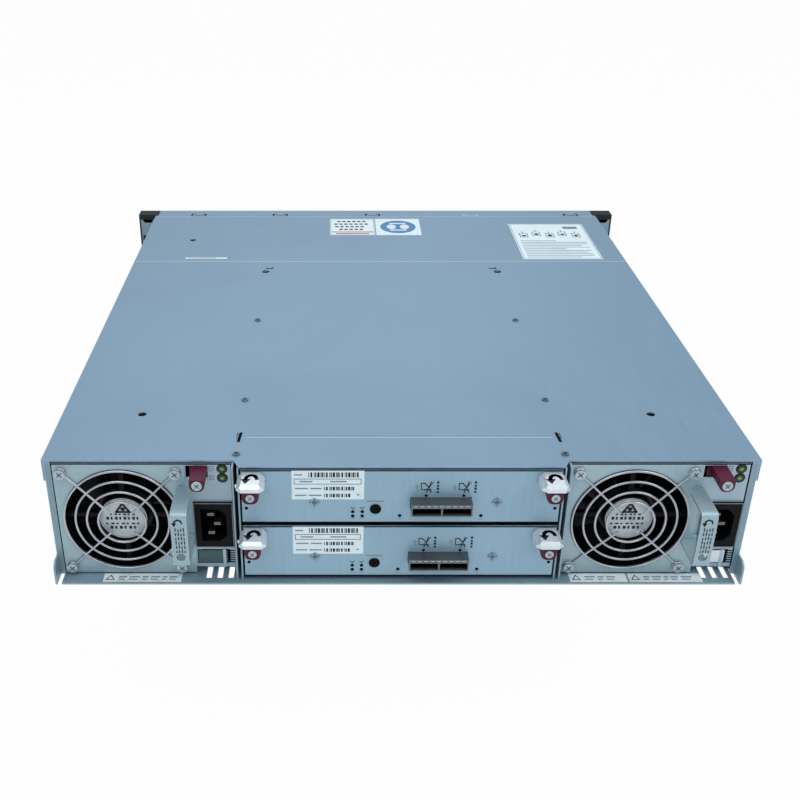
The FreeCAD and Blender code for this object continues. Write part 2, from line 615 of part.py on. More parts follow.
def ear_cap(label, side):
    """Black cover over a rack flange: an open-backed tray with access holes and two snap lugs."""
    cap = SheetMetal(f"{label}_moulding")
    inner = EAR_INNER
    outer = EAR_HALF
    middle = S.body_height / 2
    cap.pad("XZ", FRONT, S.ear_cap_depth, [rectangle((side * inner, 0), (side * outer, S.body_height))])
    hollow = rectangle((side * (inner - 1), S.ear_cap_wall), (side * (outer - S.ear_cap_wall),
                                                              S.body_height - S.ear_cap_wall))
    cap.pocket("XZ", FRONT + S.ear_cap_depth, S.ear_cap_depth - S.ear_cap_wall, [hollow])
    reach = S.rack_slot_length / 2 + S.fit_gap
    access = [rectangle((side * HOLE_HALF - reach, z - S.rack_slot_width / 2 - S.fit_gap),
                        (side * HOLE_HALF + reach, z + S.rack_slot_width / 2 + S.fit_gap))
              for z in (middle - HOLE_RISE, middle + HOLE_RISE)]
    cap.pocket("XZ", FRONT + S.ear_cap_wall, S.ear_cap_wall, access)
    lugs = [rectangle((side * (outer - S.ear_cap_wall), z - S.ear_lug / 2),
                      (side * (outer - S.ear_cap_wall - S.ear_lug), z + S.ear_lug / 2))
            for z in (middle - S.ear_lug_rise, middle + S.ear_lug_rise)]
    cap.pad("XZ", FRONT, S.ear_cap_depth - S.flange_thick - S.fit_gap, lugs)
    return part(cap.body, label)


def carrier_bays():
    """The two bays that hold a disk carrier."""
    return (round(number_of(S.first_carrier_bay)), round(number_of(S.second_carrier_bay)))


def drive_blanks():
    """Blank carriers in the empty drive bays: a bezel with a finger grip and a spine behind it."""
    blanks = []
    for bay in range(round(number_of(S.bay_count))):
        if bay in carrier_bays():
            continue
        x = bay_middle(bay)
        bezel = box(f"blank_bezel_{bay}", (x - CARRIER_WIDTH / 2, CARRIER_FRONT, CARRIER_LOW),
                    (x + CARRIER_WIDTH / 2, CARRIER_FRONT + S.bezel_depth, CARRIER_HIGH))
        spine = box(f"blank_spine_{bay}", (x - S.spine_width / 2, CARRIER_FRONT, CARRIER_LOW),
                    (x + S.spine_width / 2, CARRIER_FRONT + S.blank_depth, CARRIER_HIGH))
        grip = box(f"blank_grip_{bay}", (x - S.grip_width / 2, CARRIER_FRONT, CARRIER_HIGH - S.grip_drop),
                   (x + S.grip_width / 2, CARRIER_FRONT + S.grip_depth, CARRIER_HIGH - S.grip_drop + S.grip_height))
        blanks.append(cut(f"blank_{bay}", fuse(f"blank_solid_{bay}", [bezel, spine]), [grip]))
    return part(group("blanks", blanks), "drive_blanks")


def disk_carrier(label, bay):
    """Disk tray: bezel with a lever well and a button well, one side wall, floor and roof rails."""
    tray = SheetMetal(f"{label}_moulding")
    x = bay_middle(bay)
    left = x - CARRIER_WIDTH / 2
    right = x + CARRIER_WIDTH / 2
    back = CARRIER_FRONT + S.carrier_depth
    tray.pad("XY", CARRIER_LOW, CARRIER_HIGH - CARRIER_LOW, [rectangle((left, CARRIER_FRONT), (right, back))])
    disk_low = disk_floor() - S.fit_gap
    disk_high = disk_floor() + S.disk_height + S.fit_gap
    nest = rectangle((CARRIER_FRONT + S.bezel_depth, disk_low), (back, disk_high))
    tray.pocket("YZ", right, DISK_WIDTH + S.fit_gap + S.fit_gap, [nest])
    well = rectangle((x - WELL_WIDTH / 2, CARRIER_LOW + S.well_margin),
                     (x + WELL_WIDTH / 2, CARRIER_HIGH - S.well_margin))
    tray.pocket("XZ", CARRIER_FRONT + S.well_depth, S.well_depth, [well])
    pin = S.pivot_dia / 2 + S.pivot_gap
    pin_hole = cylinder(f"{label}_pin_hole", "X", (x - WELL_WIDTH / 2 - S.pin_seat, carrier_pivot_y(),
                                                   carrier_pivot_z()), pin, WELL_WIDTH + 2 * S.pin_seat)
    return part(cut(f"{label}_drilled", tray.body, [pin_hole]), label)


def disk_floor():
    """Underside of the disk in a carrier, which stands midway between floor and roof."""
    return (CARRIER_LOW + CARRIER_HIGH) / 2 - S.disk_height / 2


def carrier_pivot_y():
    """Depth of a carrier lever's pivot."""
    return CARRIER_FRONT + S.carrier_lever_thick / 2


def carrier_pivot_z():
    """Height of a carrier lever's pivot."""
    return CARRIER_LOW + S.well_margin + S.carrier_lever_thick / 2 + S.fit_gap


def disk(label, bay):
    """A 2.5 inch disk drive with its connector notch."""
    x = bay_middle(bay) + CARRIER_WIDTH / 2
    y = CARRIER_FRONT + S.bezel_depth + S.disk_from_bezel
    z = disk_floor()
    case = box(f"{label}_case", (x - DISK_WIDTH, y, z), (x, y + S.disk_length, z + S.disk_height))
    notch = box(f"{label}_notch", (x - DISK_WIDTH, y + S.disk_length - S.disk_notch, z + S.disk_notch),
                (x - DISK_WIDTH / 2, y + S.disk_length, z + S.disk_height - S.disk_notch))
    return part(cut(f"{label}_notched", case, [notch]), label)


def carrier_lever(label, bay):
    """Carrier ejector lever, hinged at its lower end on a cross pin."""
    x = bay_middle(bay)
    half = WELL_WIDTH / 2 - S.fit_gap
    low = carrier_pivot_z() - S.carrier_lever_thick / 2
    bar = box(f"{label}_bar", (x - half, CARRIER_FRONT, low),
              (x + half, CARRIER_FRONT + S.carrier_lever_thick, low + S.carrier_lever_length))
    long_edges = along(Vector(1, 0, 0))
    rounded = round_edges(f"{label}_rounded", bar, S.carrier_lever_thick / 2 - 0.05,
                          lambda edge: long_edges(edge) and edge.BoundBox.Center.z < number_of(low) + 1)
    pin = cylinder(f"{label}_pin", "X", (x - half - S.pin_seat, carrier_pivot_y(), carrier_pivot_z()),
                   S.pivot_dia / 2, 2 * (half + S.pin_seat))
    return part(fuse(f"{label}_with_pin", [rounded, pin]), label)


def carrier_button(label, bay):
    """Release button above a carrier lever."""
    x = bay_middle(bay)
    half = WELL_WIDTH / 2 - S.fit_gap
    high = CARRIER_HIGH - S.well_margin - S.fit_gap
    button = box(f"{label}_block", (x - half, CARRIER_FRONT, high - S.button_height),
                 (x + half, CARRIER_FRONT + S.well_depth - S.button_travel - S.fit_gap, high))
    return part(button, label)


def place_psu(obj, module, label):
    """Stand a power module's piece in its bay and keep it; pieces are drawn from the module's left rear edge."""
    place(obj, PSU_EDGE - module * PSU_PITCH, REAR, PSU_LOW)
    return part(obj, f"{label}_{module + 1}")


def latch_span():
    """Left and right ends of a power latch at rest, from the module's left edge."""
    middle = -1 * S.latch_from_edge
    return middle - S.latch_width / 2, middle + S.latch_width / 2


def fan_screws():
    """Centres of the four fan screws on the module's face."""
    half = S.fan_screw_pitch / 2
    return [(FAN_X + side * half, FAN_Z + rise * half) for side in (1, -1) for rise in (1, -1)]


def psu_case(module):
    """Power module case: a closed shell with the fan opening, inlet, lenses, latch slot and edge plug."""
    case = SheetMetal(f"psu_case_sheet_{module}")
    wall = S.psu_wall
    case.pad("XZ", -1 * PSU_DEPTH, PSU_DEPTH, [rectangle((-S.psu_width, 0), (0, S.psu_height))])
    hollow = rectangle((wall - S.psu_width, wall), (-wall, S.psu_height - wall))
    case.pocket("XZ", -1 * wall, PSU_DEPTH - 2 * wall, [hollow])
    relief_depth = S.slot_under + S.fit_gap
    step = rectangle((-S.psu_width, 0), (-S.case_relief_left, S.psu_relief + wall))
    case.pad("XZ", -1 * relief_depth - wall, relief_depth + wall, [step])
    case.pocket("XZ", 0, relief_depth, [rectangle((-S.psu_width, 0), (-S.case_relief_left, S.psu_relief))])
    left, right = latch_span()
    latch_slot = rectangle((left - S.fit_gap, S.latch_low - S.fit_gap),
                           (right + S.latch_travel + S.fit_gap, S.latch_low + S.latch_height + S.fit_gap))
    inset = S.inlet_body_inset - S.fit_gap
    x = -1 * S.inlet_from_edge
    inlet = rectangle((x - S.inlet_width / 2 + inset, S.inlet_low + inset),
                      (x + S.inlet_width / 2 - inset, S.inlet_low + S.inlet_height - inset))
    window = rectangle((x - S.recess_width / 2, S.recess_low),
                       (x + S.recess_width / 2, S.recess_low + S.recess_height))
    lenses = [(-1 * S.lens_from_edge, S.lens_high - row * S.lens_pitch, S.lens_dia / 2 + S.shaft_gap)
              for row in range(2)]
    case.pocket("XZ", 0, wall, [latch_slot, inlet, window], [(FAN_X, FAN_Z, S.fan_bore / 2)] + lenses)
    case.pocket("XZ", 0, wall, circles=[(x, z, S.fan_screw_hole / 2) for x, z in fan_screws()])
    middle = -1 * S.psu_width / 2
    plug = rectangle((middle - S.psu_plug_width / 2, S.psu_plug_low),
                     (middle + S.psu_plug_width / 2, S.psu_plug_low + S.psu_plug_height))
    front = SOCKET_FACE - REAR
    case.pad("XZ", front, -1 * PSU_DEPTH - front, [plug])
    return place_psu(case.body, module, "psu_case")


def fan_frame(module):
    """Square fan frame with its bore, corner holes, struts and motor seat."""
    frame = SheetMetal(f"fan_frame_moulding_{module}")
    half = S.fan_size / 2
    outer = rectangle((FAN_X - half, FAN_Z - half), (FAN_X + half, FAN_Z + half))
    front = FAN_BACK - S.fan_length
    holes = [(x, z, S.fan_screw_hole / 2) for x, z in fan_screws()]
    frame.pad("XZ", front, S.fan_length, [outer], [(FAN_X, FAN_Z, S.fan_bore / 2)] + holes)
    strut = S.strut_width / 2
    reach = (S.fan_bore + S.fan_size) / 4
    depth = S.motor_length / 2
    frame.pad("XZ", FAN_BACK - S.motor_length, depth,
              [rectangle((FAN_X - reach, FAN_Z - strut), (FAN_X + reach, FAN_Z + strut))])
    frame.pad("XZ", FAN_BACK - S.motor_length, depth,
              [rectangle((FAN_X - strut, FAN_Z - reach), (FAN_X + strut, FAN_Z + reach))])
    frame.pad("XZ", FAN_BACK - S.motor_length, S.motor_length, circles=[(FAN_X, FAN_Z, S.motor_dia / 2)])
    frame.pocket("XZ", FAN_BACK - S.motor_length / 2, S.motor_length,
                 circles=[(FAN_X, FAN_Z, S.shaft_dia / 2 + S.shaft_gap)])
    return place_psu(frame.body, module, "psu_fan_frame")


def fan_blade(inner, outer, chord, thickness, length):
    """One twisted blade: a loft from a steep section at the hub to a shallow one at the tip, along +Z."""
    sections = []
    for radius, angle in ((inner, 52.0), (outer, 28.0)):
        section = Part.makePolygon([Vector(x, y, 0) for x, y in
                                    ((-chord / 2, -thickness / 2), (chord / 2, -thickness / 2),
                                     (chord / 2, thickness / 2), (-chord / 2, thickness / 2),
                                     (-chord / 2, -thickness / 2))])
        section.Placement = Placement(Vector(0, 0, radius), Rotation(Vector(0, 0, 1), angle))
        sections.append(section)
    return Part.makeLoft(sections, True, True)


def fan_rotor(module):
    """Fan rotor: a cup hub on its shaft with swept, twisted blades trimmed to one tip circle."""
    hub_radius = number_of(S.hub_dia) / 2
    tip = number_of(S.fan_bore) / 2 - number_of(S.blade_tip_gap)
    back = number_of(FAN_BACK - S.motor_length - S.fit_gap)
    front = number_of(FAN_BACK - S.fan_length + S.blade_margin)
    length = back - front
    count = round(number_of(S.blade_count))
    axis = Vector(0, 1, 0)
    hub = Part.makeCylinder(hub_radius, length, Vector(0, front, 0), axis)
    shaft = Part.makeCylinder(number_of(S.shaft_dia) / 2, number_of(S.motor_length) / 2,
                              Vector(0, back, 0), axis)
    limit = Part.makeCylinder(tip, length, Vector(0, front, 0), axis)
    blade = fan_blade(hub_radius - 2, tip + 2, number_of(S.blade_chord), number_of(S.blade_thickness), length)
    blade.translate(Vector(0, (front + back) / 2, 0))
    blades = []
    for index in range(count):
        copy = blade.copy()
        copy.rotate(Vector(), axis, 360 * index / count)
        blades.append(copy.common(limit))
    rotor = doc.addObject("Part::Feature", f"fan_rotor_{module}")
    rotor.Shape = hub.fuse(blades + [shaft]).removeSplitter()
    place(rotor, PSU_EDGE - module * PSU_PITCH + FAN_X, REAR, PSU_LOW + FAN_Z)
    return part(rotor, f"psu_fan_rotor_{module + 1}")


def wire_run(start, end, radius):
    """A straight round wire between two points."""
    line = end - start
    return Part.makeCylinder(radius, line.Length, start, line)


def fan_guard(module):
    """Wire fan guard: concentric rings on four bent spokes, each spoke ending in an eye round its screw."""
    wire = number_of(S.guard_wire) / 2
    outer = number_of(S.guard_outer) / 2
    step = number_of(S.guard_step) / 2
    rise = number_of(S.guard_rise)
    base = number_of(S.plate_lift) + wire
    eye = number_of(S.guard_eye) / 2 - wire
    corner = number_of(S.fan_screw_pitch) / 2 * math.sqrt(2)
    axis = Vector(0, 1, 0)
    rings = []
    for index in range(round(number_of(S.guard_rings))):
        radius = outer - index * step
        height = base + rise * (1 - radius / outer)
        rings.append(Part.makeTorus(radius, wire, Vector(0, height, 0), axis))
        last = radius
    pieces = []
    past = number_of(S.guard_flat) / 2
    spoke = wire * 0.94
    for index in range(4):
        angle = math.radians(45 + 90 * index)
        out = Vector(math.cos(angle), 0, math.sin(angle))
        knee = out * (outer + past / 2) + Vector(0, base, 0)
        toe = out * (corner - eye + wire / 3) + Vector(0, base, 0)
        inner = out * (last - past) + Vector(0, base + rise * (1 - (last - past) / outer), 0)
        pieces += [wire_run(toe, knee, spoke), wire_run(knee, inner, spoke), Part.makeSphere(wire, knee)]
        pieces.append(Part.makeTorus(eye, wire, out * corner + Vector(0, base, 0), axis))
    guard = doc.addObject("Part::Feature", f"fan_guard_{module}")
    guard.Shape = rings[0].fuse(rings[1:] + pieces).removeSplitter()
    place(guard, PSU_EDGE - module * PSU_PITCH + FAN_X, REAR, PSU_LOW + FAN_Z)
    return part(guard, f"psu_fan_guard_{module + 1}")


def guard_screws(module):
    """The four screws through guard, plate and fan frame."""
    head_foot = S.plate_lift + S.guard_wire
    screws = []
    for number, (x, z) in enumerate(fan_screws()):
        head = cylinder(f"guard_screw_head_{module}_{number}", "Y", (x, head_foot, z),
                        S.guard_screw_head / 2, S.guard_screw_rise)
        shank = cylinder(f"guard_screw_shank_{module}_{number}", "Y", (x, FAN_BACK - S.guard_screw_grip, z),
                         S.guard_shank_dia / 2, S.guard_screw_grip - FAN_BACK + head_foot)
        screws.append(fuse(f"guard_screw_{module}_{number}", [head, shank]))
    return place_psu(group(f"guard_screws_{module}", screws), module, "psu_guard_screws")


def psu_handle(module):
    """Fan plate with its lobe and neck, and the strap handle bent out from it."""
    plate = SheetMetal(f"fan_plate_sheet_{module}")
    inset = S.plate_inset
    neck = S.neck_from_edge
    foot = S.foot_rise
    high = S.psu_height - inset
    points = [(inset, inset), (PLATE_RIGHT, inset), (PLATE_RIGHT, S.handle_bottom + foot),
              (neck, S.handle_bottom + foot), (neck, S.handle_top - foot), (PLATE_RIGHT, S.handle_top - foot),
              (PLATE_RIGHT, S.handle_top), (S.neck_waist, S.lobe_low - S.neck_drop), (S.lobe_right, S.lobe_low),
              (S.lobe_right, high), (inset, high)]
    outline = [(-1 * across, height) for across, height in points]
    holes = [(x, z, S.fan_screw_hole / 2) for x, z in fan_screws()]
    plate.pad("XZ", 0, S.plate_lift, [outline], [(FAN_X, FAN_Z, S.fan_bore / 2)] + holes)
    right = -1 * PLATE_RIGHT
    left = right + S.handle_width
    outer = box(f"strap_outer_{module}", (right, 0, S.handle_bottom), (left, S.handle_reach, S.handle_top))
    bends = along(Vector(1, 0, 0))
    outer = round_edges(f"strap_bend_{module}", outer, S.handle_radius,
                        lambda edge: bends(edge) and edge.BoundBox.Center.y > 1)
    sheet_thick = S.handle_sheet
    inner = box(f"strap_gap_{module}", (right - 1, -1, S.handle_bottom + sheet_thick),
                (left + 1, S.handle_reach - sheet_thick, S.handle_top - sheet_thick))
    inner = round_edges(f"strap_inner_bend_{module}", inner, S.handle_radius - sheet_thick,
                        lambda edge: bends(edge) and edge.BoundBox.Center.y > 1)
    hole = cylinder(f"strap_hole_{module}", "Y", (right + S.handle_width / 2, S.handle_reach / 2,
                                                  S.handle_bottom + S.handle_hole_rise),
                    S.handle_hole_dia / 2, S.handle_reach)
    strap = cut(f"strap_{module}", outer, [inner, hole])
    return place_psu(fuse(f"handle_{module}", [plate.body, strap]), module, "psu_handle")


def psu_latch(module):
    """Wine-red release latch: a round-bellied tongue through the case slot with a wider heel inside."""
    left, right = latch_span()
    low = S.latch_low
    high = low + S.latch_height
    tongue = box(f"latch_tongue_{module}", (left, -1 * S.psu_wall - S.fit_gap, low), (right, S.latch_reach, high))
    runs = along(Vector(0, 1, 0))
    belly = round_edges(f"latch_belly_{module}", tongue, S.latch_radius,
                        lambda edge: runs(edge) and edge.BoundBox.Center.z < number_of(low) + 1)
    back = -1 * S.psu_wall - S.fit_gap
    heel = box(f"latch_heel_{module}", (left - S.latch_heel, back - S.latch_heel, low),
               (right + S.latch_heel, back, high))
    return place_psu(fuse(f"latch_{module}", [belly, heel]), module, "psu_latch")


def psu_inlet(module):
    """Mains inlet: rim, body and a socket with two chamfered corners."""
    inlet = SheetMetal(f"inlet_moulding_{module}")
    x = -1 * S.inlet_from_edge
    low, high = S.inlet_low, S.inlet_low + S.inlet_height
    half = S.inlet_width / 2
    inlet.pad("XZ", 0, S.inlet_rim, [rectangle((x - half, low), (x + half, high))])
    inset = S.inlet_body_inset
    inlet.pad("XZ", S.inlet_rim - S.inlet_length, S.inlet_length - S.inlet_rim,
              [rectangle((x - half + inset, low + inset), (x + half - inset, high - inset))])
    middle = (low + high) / 2
    wide, tall, chamfer = S.socket_width / 2, S.socket_height / 2, S.socket_chamfer
    outline = [(x + wide, middle - tall), (x + wide, middle + tall), (x - wide + chamfer, middle + tall),
               (x - wide, middle + tall - chamfer), (x - wide, middle - tall + chamfer),
               (x - wide + chamfer, middle - tall)]
    inlet.pocket("XZ", S.inlet_rim, S.socket_depth, [outline])
    return place_psu(inlet.body, module, "psu_inlet")


def inlet_pins(module):
    """Line, neutral and earth blades standing in the socket."""
    x = -1 * S.inlet_from_edge
    middle = S.inlet_low + S.inlet_height / 2
    root = S.inlet_rim - S.socket_depth
    spots = [(x + S.earth_offset / 2, middle + S.pin_pitch / 2), (x + S.earth_offset / 2, middle - S.pin_pitch / 2),
             (x - S.earth_offset / 2, middle)]
    pins = [box(f"inlet_pin_{module}_{number}", (at - S.pin_wide / 2, root, height - S.pin_thick / 2),
                (at + S.pin_wide / 2, root + S.pin_length, height + S.pin_thick / 2))
            for number, (at, height) in enumerate(spots)]
    return place_psu(group(f"inlet_pins_{module}", pins), module, "psu_inlet_pins")


def status_lenses(module):
    """Two round status lenses."""
    lenses = [cylinder(f"lens_{module}_{row}", "Y", (-1 * S.lens_from_edge, S.lens_proud - S.lens_length,
                                                     S.lens_high - row * S.lens_pitch), S.lens_dia / 2, S.lens_length)
              for row in range(2)]
    return place_psu(group(f"lenses_{module}", lenses), module, "psu_status_lenses")


def place_io(obj, module, label):
    """Stand an input/output module's piece in its bay; module 1 is above, and pieces are drawn from its face."""
    place(obj, 0, IO_FACE, S.io_low + (1 - module) * S.io_pitch)
    return part(obj, f"{label}_{module + 1}")


def io_tray(module):
    """Module tray: floor, side walls, face with its openings, board standoffs and the lever brackets."""
    tray = SheetMetal(f"io_tray_sheet_{module}")
    front = -1 * IO_DEPTH
    gauge = S.io_sheet
    tray.pad("XY", 0, gauge, [rectangle((-IO_HALF, front), (IO_HALF, 0))])
    wall = rectangle((front, 0), (0, S.io_wall_height))
    for start in (-IO_HALF, IO_HALF - gauge):
        tray.pad("YZ", start, gauge, [wall])
    port = port_span()
    port_hole = rectangle((port[0] - S.fit_gap, S.port_low - S.fit_gap),
                          (port[1] + S.fit_gap, S.port_low + S.port_height + S.fit_gap))
    jack = (S.jack_from_middle, S.jack_high, S.jack_dia / 2 + S.shaft_gap)
    tray.pad("XZ", -gauge, gauge, [rectangle((-IO_HALF, 0), (IO_HALF, S.io_height)), port_hole], [jack])
    posts = [(x, y, S.standoff_dia / 2) for x in (-(IO_HALF - S.standoff_from_end), 0, (IO_HALF - S.standoff_from_end))
             for y in (front + S.standoff_inset, -1 * S.standoff_inset - S.standoff_inset)]
    tray.pad("XY", gauge, BOARD_LOW - gauge, circles=posts)
    ear = rectangle((0, S.pivot_high - S.bracket_half), (S.pivot_out + S.bracket_half, S.pivot_high + S.bracket_half))
    for side in (1, -1):
        for flank in (1, -1):
            inner = side * LEVER_MIDDLE + flank * (S.io_latch_width / 2 + S.fit_gap)
            start = inner if flank > 0 else inner - S.bracket_thick
            tray.pad("YZ", start, S.bracket_thick, [ear])
    reach = S.lever_width
    bores = [cylinder(f"pivot_bore_{module}_{side}", "X", (side * LEVER_MIDDLE - reach / 2, S.pivot_out,
                                                           S.pivot_high), S.pivot_dia / 2 + S.pivot_gap, reach)
             for side in (1, -1)]
    return place_io(cut(f"io_tray_bored_{module}", tray.body, bores), module, "io_tray")


def port_span():
    """Left and right ends of the port cage."""
    middle = -1 * S.port_from_middle
    return middle - S.port_width / 2, middle + S.port_width / 2


def io_board(module):
    """Module circuit board with its edge tongue, processor heat spreader and the barrel of the service jack."""
    board = SheetMetal(f"io_board_sheet_{module}")
    half = IO_HALF - S.io_sheet - S.board_inset
    back = -1 * S.io_sheet - S.board_inset
    front = -1 * IO_DEPTH
    tongue = S.io_socket_width / 2 - S.board_inset
    end = SOCKET_FACE - IO_FACE
    outline = [(-half, front), (-tongue, front), (-tongue, end), (tongue, end), (tongue, front), (half, front),
               (half, back), (-half, back)]
    board.pad("XY", BOARD_LOW, S.board_thick, [outline])
    chip = rectangle((-S.chip_size / 2, front / 2 - S.chip_size / 2), (S.chip_size / 2, front / 2 + S.chip_size / 2))
    board.pad("XY", S.port_low, S.chip_rise, [chip])
    board.pad("XZ", S.jack_proud - S.jack_length, S.jack_length,
              circles=[(S.jack_from_middle, S.jack_high, S.jack_dia / 2)])
    board.pocket("XZ", S.jack_proud, S.jack_length - S.jack_proud,
                 circles=[(S.jack_from_middle, S.jack_high, S.jack_bore / 2)])
    return place_io(board.body, module, "io_board")


def port_cage(module):
    """Twin port cage: a thin metal shell with a middle wall, a rolled upper lip and a contact tongue per port."""
    cage = SheetMetal(f"port_cage_sheet_{module}")
    left, right = port_span()
    low, high = S.port_low, S.port_low + S.port_height
    back = S.port_proud - S.port_length
    gauge = S.port_sheet
    cage.pad("XZ", back, S.port_length, [rectangle((left, low), (right, high))])
    middle = (left + right) / 2
    split = S.port_split / 2
    holes = [rectangle((left + gauge, low + gauge), (middle - split, high - gauge - S.port_lip)),
             rectangle((middle + split, low + gauge), (right - gauge, high - gauge - S.port_lip))]
    cage.pocket("XZ", S.port_proud, S.port_length - gauge, holes)
    return place_io(cage.body, module, "io_port_cage")


def hood_form(name, middle, inset):
    """The lever hood's solid form: where its section, its plan and its side profile all agree."""
    half = S.lever_width / 2 - inset
    flat = S.lever_flat / 2 - inset / 2
    roof = S.lever_roof - inset
    shoulder = roof - S.lever_wing_drop
    low = S.lever_side_low - (1 if number_of(inset) else 0)
    section = [(middle - half, low), (middle + half, low), (middle + half, shoulder), (middle + flat, roof),
               (middle - flat, roof), (middle - half, shoulder)]
    back = S.lever_back if not number_of(inset) else -1.0
    front = S.lever_reach - inset
    corner = S.lever_corner
    plan = [(middle - half, back), (middle + half, back), (middle + half, front - corner),
            (middle + half - corner, front), (middle - half + corner, front), (middle - half, front - corner)]
    lip = S.lever_roof - S.lever_lip_drop
    nose = S.lever_nose
    side = [(back, low), (S.lever_flank, low), (front - S.lever_lip_length, lip - (1 if number_of(inset) else 0)),
            (front, lip - (1 if number_of(inset) else 0)), (front, roof - nose), (front - nose, roof), (back, roof)]
    reach = S.lever_reach + 2
    forms = [prism(f"{name}_section", "XZ", section, -1.0, reach),
             prism(f"{name}_plan", "XY", plan, low, S.lever_roof - low),
             prism(f"{name}_side", "YZ", side, middle - half, 2 * half)]
    obj = doc.addObject("Part::MultiCommon", name)
    obj.Shapes = forms
    return obj


def ejector_lever(module, side, label):
    """Bright ejector lever: a formed hood with slanted wings, a front lip and a fixed cross pin."""
    name = f"{label}_{module}"
    middle = side * LEVER_MIDDLE
    hood = cut(f"{name}_hood", hood_form(f"{name}_outer", middle, 0), [hood_form(f"{name}_inner", middle, S.lever_sheet)])
    half = S.lever_width / 2
    left = middle - half - (S.pivot_stub if side < 0 else 0)
    pin = cylinder(f"{name}_pin", "X", (left, S.pivot_out, S.pivot_high), S.pivot_dia / 2,
                   S.lever_width + S.pivot_stub)
    return place_io(fuse(f"{name}_with_pin", [hood, pin]), module, label)


def io_latch(module, side, label):
    """Wine-red squeeze latch under a lever hood, slotted round the lever's cross pin."""
    name = f"{label}_{module}"
    middle = side * LEVER_MIDDLE
    half = S.io_latch_width / 2
    low, high = S.io_latch_low, S.io_latch_low + S.io_latch_height
    back = S.io_latch_back
    front = S.lever_reach - S.lever_sheet - S.fit_gap
    profile = [(back, low + S.io_latch_trim), (back + S.io_latch_trim, low), (front, low), (front, high), (back, high)]
    corner = S.io_latch_corner
    plan = [(middle - half, back), (middle + half, back), (middle + half, front - corner),
            (middle + half - corner, front), (middle - half + corner, front), (middle - half, front - corner)]
    tongue = doc.addObject("Part::MultiCommon", f"{name}_tongue")
    tongue.Shapes = [prism(f"{name}_profile", "YZ", profile, middle - half, S.io_latch_width),
                     prism(f"{name}_plan", "XY", plan, low, S.io_latch_height)]
    runs = along(Vector(0, 1, 0))
    belly = round_edges(f"{name}_belly", tongue, S.io_latch_radius,
                        lambda edge: runs(edge) and edge.BoundBox.Center.z < number_of(low) + 1)
    room = S.pivot_dia / 2 + S.fit_gap
    slot = box(f"{name}_slot", (middle - half - 1, S.pivot_out - room, S.pivot_high - room - S.io_latch_travel),
               (middle + half + 1, S.pivot_out + room, S.pivot_high + room))
    return place_io(cut(f"{name}_slotted", belly, [slot]), module, label)


def write_parts():
    """Check every object and write each finished sub-part to its own file."""
    doc.recompute()
    for obj in doc.Objects:
        if "Invalid" in obj.State or "Error" in obj.State:
            raise RuntimeError(f"{obj.Label} did not build: {obj.State}")
    os.makedirs("parts", exist_ok=True)
    for obj in PARTS:
        shape = obj.Shape
        if shape.isNull() or not shape.isValid() or not shape.Solids:
            raise RuntimeError(f"{obj.Label} has no sound solid")
        shape.exportStep(f"parts/{obj.Label}.step")
        print(f"{obj.Label}: {len(shape.Solids)} solid(s), {shape.Volume / 1000:.2f} cm3")


def build():
    """Make the chassis, the drive bays, the power modules and the input/output modules."""
    chassis_tub()
    rear_cover()
    front_cover()
    cover_screws()
    front_frame()
    io_shelf()
    drive_cage()
    midplane_board()
    midplane_connectors()
    drive_blanks()
    for name, side in (("left", 1), ("right", -1)):
        bay_divider(f"bay_divider_{name}", side)
        module_rail(f"module_rail_{name}", side)
        rack_flange(f"rack_flange_{name}", side)
        ear_cap(f"ear_cap_{name}", side)
    for number, bay in enumerate(carrier_bays(), start=1):
        disk_carrier(f"disk_carrier_{number}", bay)
        disk(f"disk_{number}", bay)
        carrier_lever(f"carrier_lever_{number}", bay)
        carrier_button(f"carrier_button_{number}", bay)
    for module in range(2):
        for make in (psu_case, fan_frame, fan_rotor, fan_guard, guard_screws, psu_handle, psu_latch,
                     psu_inlet, inlet_pins, status_lenses, io_tray, io_board, port_cage):
            make(module)
        for name, side in (("left", 1), ("right", -1)):
            ejector_lever(module, side, f"io_lever_{name}")
            io_latch(module, side, f"io_latch_{name}")


build()
write_parts()
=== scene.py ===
"""Dressed model of a two-unit disk shelf enclosure, seen from its module side."""
import json
import logging
import math
from dataclasses import dataclass, field
from enum import Enum
from typing import Dict, Iterable, List, Optional, Sequence, Tuple

import bmesh
import bpy
from mathutils import Matrix, Vector


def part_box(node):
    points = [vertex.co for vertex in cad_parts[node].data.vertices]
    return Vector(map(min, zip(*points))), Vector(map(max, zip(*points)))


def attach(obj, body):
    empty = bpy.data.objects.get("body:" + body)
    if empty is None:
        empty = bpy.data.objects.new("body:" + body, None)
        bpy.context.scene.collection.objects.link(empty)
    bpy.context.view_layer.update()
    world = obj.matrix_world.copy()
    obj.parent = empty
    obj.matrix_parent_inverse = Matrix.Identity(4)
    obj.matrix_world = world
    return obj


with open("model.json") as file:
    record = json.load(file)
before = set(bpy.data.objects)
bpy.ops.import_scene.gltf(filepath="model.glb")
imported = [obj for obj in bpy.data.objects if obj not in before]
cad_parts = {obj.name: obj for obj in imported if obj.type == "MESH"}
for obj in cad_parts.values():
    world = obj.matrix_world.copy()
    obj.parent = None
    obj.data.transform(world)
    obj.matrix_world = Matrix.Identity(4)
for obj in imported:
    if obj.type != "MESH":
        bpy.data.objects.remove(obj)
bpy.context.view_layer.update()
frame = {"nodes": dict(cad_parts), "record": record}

LOG = logging.getLogger("disk_shelf")
MM = 0.001
Point = Tuple[float, float]
Colour = Tuple[float, float, float]


